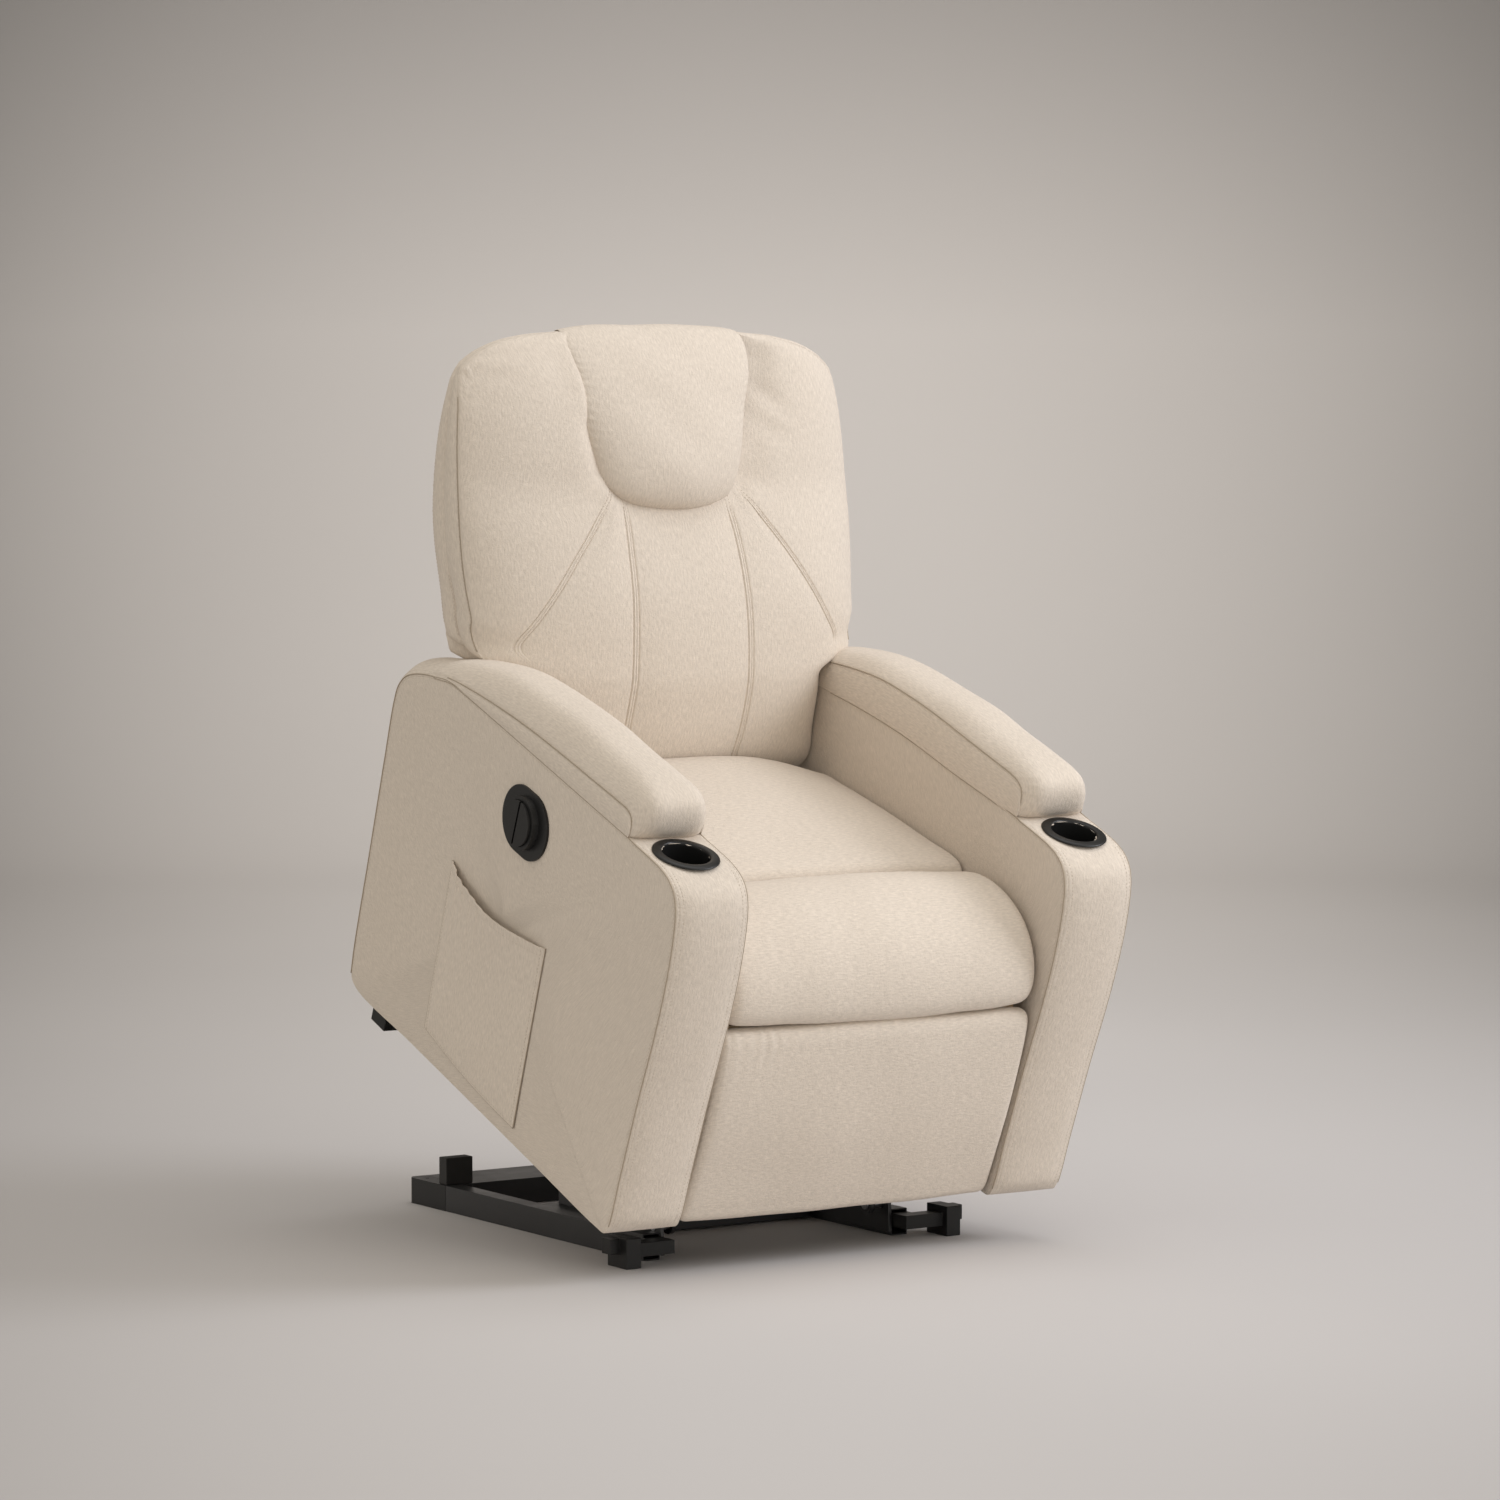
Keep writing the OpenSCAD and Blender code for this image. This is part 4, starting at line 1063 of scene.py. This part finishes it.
def make_skirt():
    half, low, high, rear = 266.0, 60.0, 350.0, 399.5
    x, z = np.meshgrid(np.linspace(-half, half, 90), np.linspace(low, high, 50))
    gap = np.minimum(half - np.abs(x), high - z)
    drape = 1.6 * waves(np.stack([x, 0 * x, z * 0.25], -1), 120, 95) * step(gap, 0, 40)
    grid = np.stack([x, rear + drape, z], -1)
    outer, skirt = cloth_sheet("rear_skirt_cloth", grid, (0, 1, 0), "cover_cloth")
    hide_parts("rear_skirt")
    stitching("rear_skirt_stitching", [outer.line(row=3), outer.line(row=-4)], "carriage")


# ---------- hard pieces ----------

def lathe(profile, centre):
    """A turned piece about the seated chair's Z axis: profile is [radius, height]."""
    profile = np.array(profile, float)
    a = np.linspace(0, 2 * math.pi, 96, endpoint=False)
    radius, height = profile[:, :1], profile[:, 1:]
    p = np.stack([radius * np.cos(a), radius * np.sin(a), height + 0 * a], -1)
    return Panel(p + np.array(centre), wrap=True)


def make_cup_holders():
    profile = [
        (0.01, -69), (10, -69), (22, -69), (28.5, -68.6), (31.6, -66.5), (32.6, -62), (32.8, -40),
        (33.1, -8), (33.4, -1.5), (34.0, 0.9), (35.3, 2.3), (37.6, 2.9), (42.0, 2.7), (45.2, 2.1),
        (47.2, 1.2), (48.2, 0), (47.9, -1.0), (46, -1.5), (38, -1.6), (35.6, -2.4), (35.4, -30),
        (35.2, -70), (33, -72.6), (20, -73), (0.01, -73)]
    for name, sign in (("left", -1), ("right", 1)):
        cup = lathe(profile, (sign * CUP_AT[0], CUP_AT[1], ARM_TOP + 2.0))
        piece = sewn("cup_holder_liner_" + name, [cup], "carriage", "gloss_black")
        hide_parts("cup_holder_" + name)


EASED_BY = 0.0011        # metres


def finish_cad():
    """Gives every CAD node its slot's material, and most of them eased edges."""
    slots = {part["node"]: part["material_slot"] for part in frame["record"]["subparts"]}
    sharp = ("seat_springs", "power_inlet")
    for name, obj in frame["nodes"].items():
        obj.data.materials.clear()
        obj.data.materials.append(MAT[slots[name]])
        if name in sharp or obj.hide_render:
            continue
        weld = obj.modifiers.new("weld", "WELD")
        weld.merge_threshold = WELD_WITHIN * MM
        ease = obj.modifiers.new("ease", "BEVEL")
        ease.width = EASED_BY
        ease.segments = 2
        ease.limit_method = "ANGLE"
        ease.angle_limit = math.radians(40)


# ---------- stage ----------

def backdrop_material():
    """Seamless paper with painted light falloff: palest behind the chair, a little darker toward its top
    and sides.
    """
    n = Nodes("studio_paper_painted_falloff")
    soft = n.noise(0.6, 1)

    def measured_along(direction):
        dot = n.add("ShaderNodeVectorMath", operation="DOT_PRODUCT")
        n.link(n.place, dot.inputs[0])
        dot.inputs[1].default_value = direction
        return n.math("SUBTRACT", dot.outputs["Value"], float(np.dot(direction, VIEW_TARGET)))

    behind, aside = measured_along(FAR), measured_along(SIDE)
    half_view = n.math("MULTIPLY", n.math("MAXIMUM", n.math("ADD", behind, VIEW_DISTANCE), 4.0), 0.130)
    off = n.math("DIVIDE", aside, half_view)
    # Painted light falloff: the paper is darkened toward the sides of the view, toward the camera and
    # toward the top, in place of the lamps' light falling off
    fall = n.math("MULTIPLY", n.fit(behind, 0, 5, 0.14, 0.365), n.math("MULTIPLY", off, off))
    fall = n.math("MINIMUM", fall, 0.45)
    level = n.math("MULTIPLY", n.fit(behind, 0, 5, 0.60, 0.83), n.math("SUBTRACT", 1.0, fall))
    level = n.math("MULTIPLY", level, n.fit(measured_along((0, 0, 1)), 0.65, 1.7, 1.0, 0.65))
    level = n.math("MULTIPLY", level, n.fit(soft, 0.3, 0.7, 0.985, 1.015))
    return n.done(n.blend(level, (0, 0, 0), (1.0, 0.964, 0.952)), 0.95, Specular_IOR_Level=0.1)


def make_stage():
    """Floor and backdrop in one sweep, square to the camera's view."""
    far, side = np.array(FAR[:2]), np.array(SIDE[:2])
    start, radius, reach, high = 5.2, 2.6, 14.0, 12.0
    bend = [(start + radius * math.sin(a), radius - radius * math.cos(a))
            for a in np.linspace(0, math.pi / 2, 25)]
    profile = [(-reach, 0.0), (-4.0, 0.0), (0.0, 0.0), *bend, (start + radius, high)]
    verts, faces = [], []
    for d, z in profile:
        for s in (-reach, reach):
            verts.append((*(far * d + side * s), z))
    for k in range(len(profile) - 1):
        faces.append([2 * k, 2 * k + 1, 2 * k + 3, 2 * k + 2])
    mesh = bpy.data.meshes.new("studio_sweep")
    mesh.from_pydata(verts, [], faces)
    mesh.polygons.foreach_set("use_smooth", [True] * len(mesh.polygons))
    mesh.materials.append(backdrop_material())
    sweep = bpy.data.objects.new("studio_sweep", mesh)
    bpy.context.scene.collection.objects.link(sweep)


def area_light(name, place, aim, size, watts, colour):
    data = bpy.data.lights.new(name, "AREA")
    data.shape = "RECTANGLE"
    data.size, data.size_y = size
    data.energy = watts
    data.color = colour
    obj = bpy.data.objects.new(name, data)
    obj.location = place
    obj.rotation_euler = (Vector(aim) - Vector(place)).to_track_quat("-Z", "Y").to_euler()
    bpy.context.scene.collection.objects.link(obj)


def make_lights():
    aim = (0, -0.35, 0.6)
    area_light("key", (3.3, -3.1, 2.7), aim, (2.2, 2.2), 102, (0.96, 0.985, 1.06))
    area_light("top", (0.7, -1.0, 4.4), aim, (2.6, 2.6), 30, (0.99, 0.99, 1.02))
    area_light("low_fill", (0.6, -5.0, 0.7), aim, (2.4, 1.6), 25, (1, 0.98, 0.95))
    area_light("left_fill", (-7.0, 0.6, 1.0), aim, (2.4, 1.6), 42, (1, 0.95, 0.87))
    world = bpy.data.worlds.new("studio")
    bpy.context.scene.world = world
    world.use_nodes = True
    world.node_tree.nodes["Background"].inputs["Color"].default_value = (1.0, 0.947, 0.862, 1)
    world.node_tree.nodes["Background"].inputs["Strength"].default_value = 0.70


VIEW_TARGET = (0.0985, -0.394, 0.7045)
VIEW_DISTANCE = 8.2985
VIEW_AZIMUTH = math.radians(-33.168)
VIEW_ELEVATION = math.radians(4.006)
VIEW_LENS, VIEW_SENSOR = 134.55, 36
VIEW_BACK = (math.sin(VIEW_AZIMUTH) * math.cos(VIEW_ELEVATION),
             -math.cos(VIEW_AZIMUTH) * math.cos(VIEW_ELEVATION), math.sin(VIEW_ELEVATION))
FAR = (-math.sin(VIEW_AZIMUTH), math.cos(VIEW_AZIMUTH), 0.0)
SIDE = (math.cos(VIEW_AZIMUTH), math.sin(VIEW_AZIMUTH), 0.0)


def make_camera():
    data = bpy.data.cameras.new("camera")
    data.lens, data.sensor_width = VIEW_LENS, VIEW_SENSOR
    data.clip_end = 60
    camera = bpy.data.objects.new("camera", data)
    camera.location = Vector(VIEW_TARGET) + Vector(VIEW_BACK) * VIEW_DISTANCE
    camera.rotation_euler = (-Vector(VIEW_BACK)).to_track_quat("-Z", "Y").to_euler()
    bpy.context.scene.collection.objects.link(camera)
    bpy.context.scene.camera = camera


make_camera()
make_back()
make_pillow()
make_seat()
make_footrest()
make_arms()
make_arm_pads()
make_pocket()
make_skirt()
make_cup_holders()
finish_cad()
make_stage()
make_lights()
bpy.context.scene.view_settings.view_transform = "Standard"
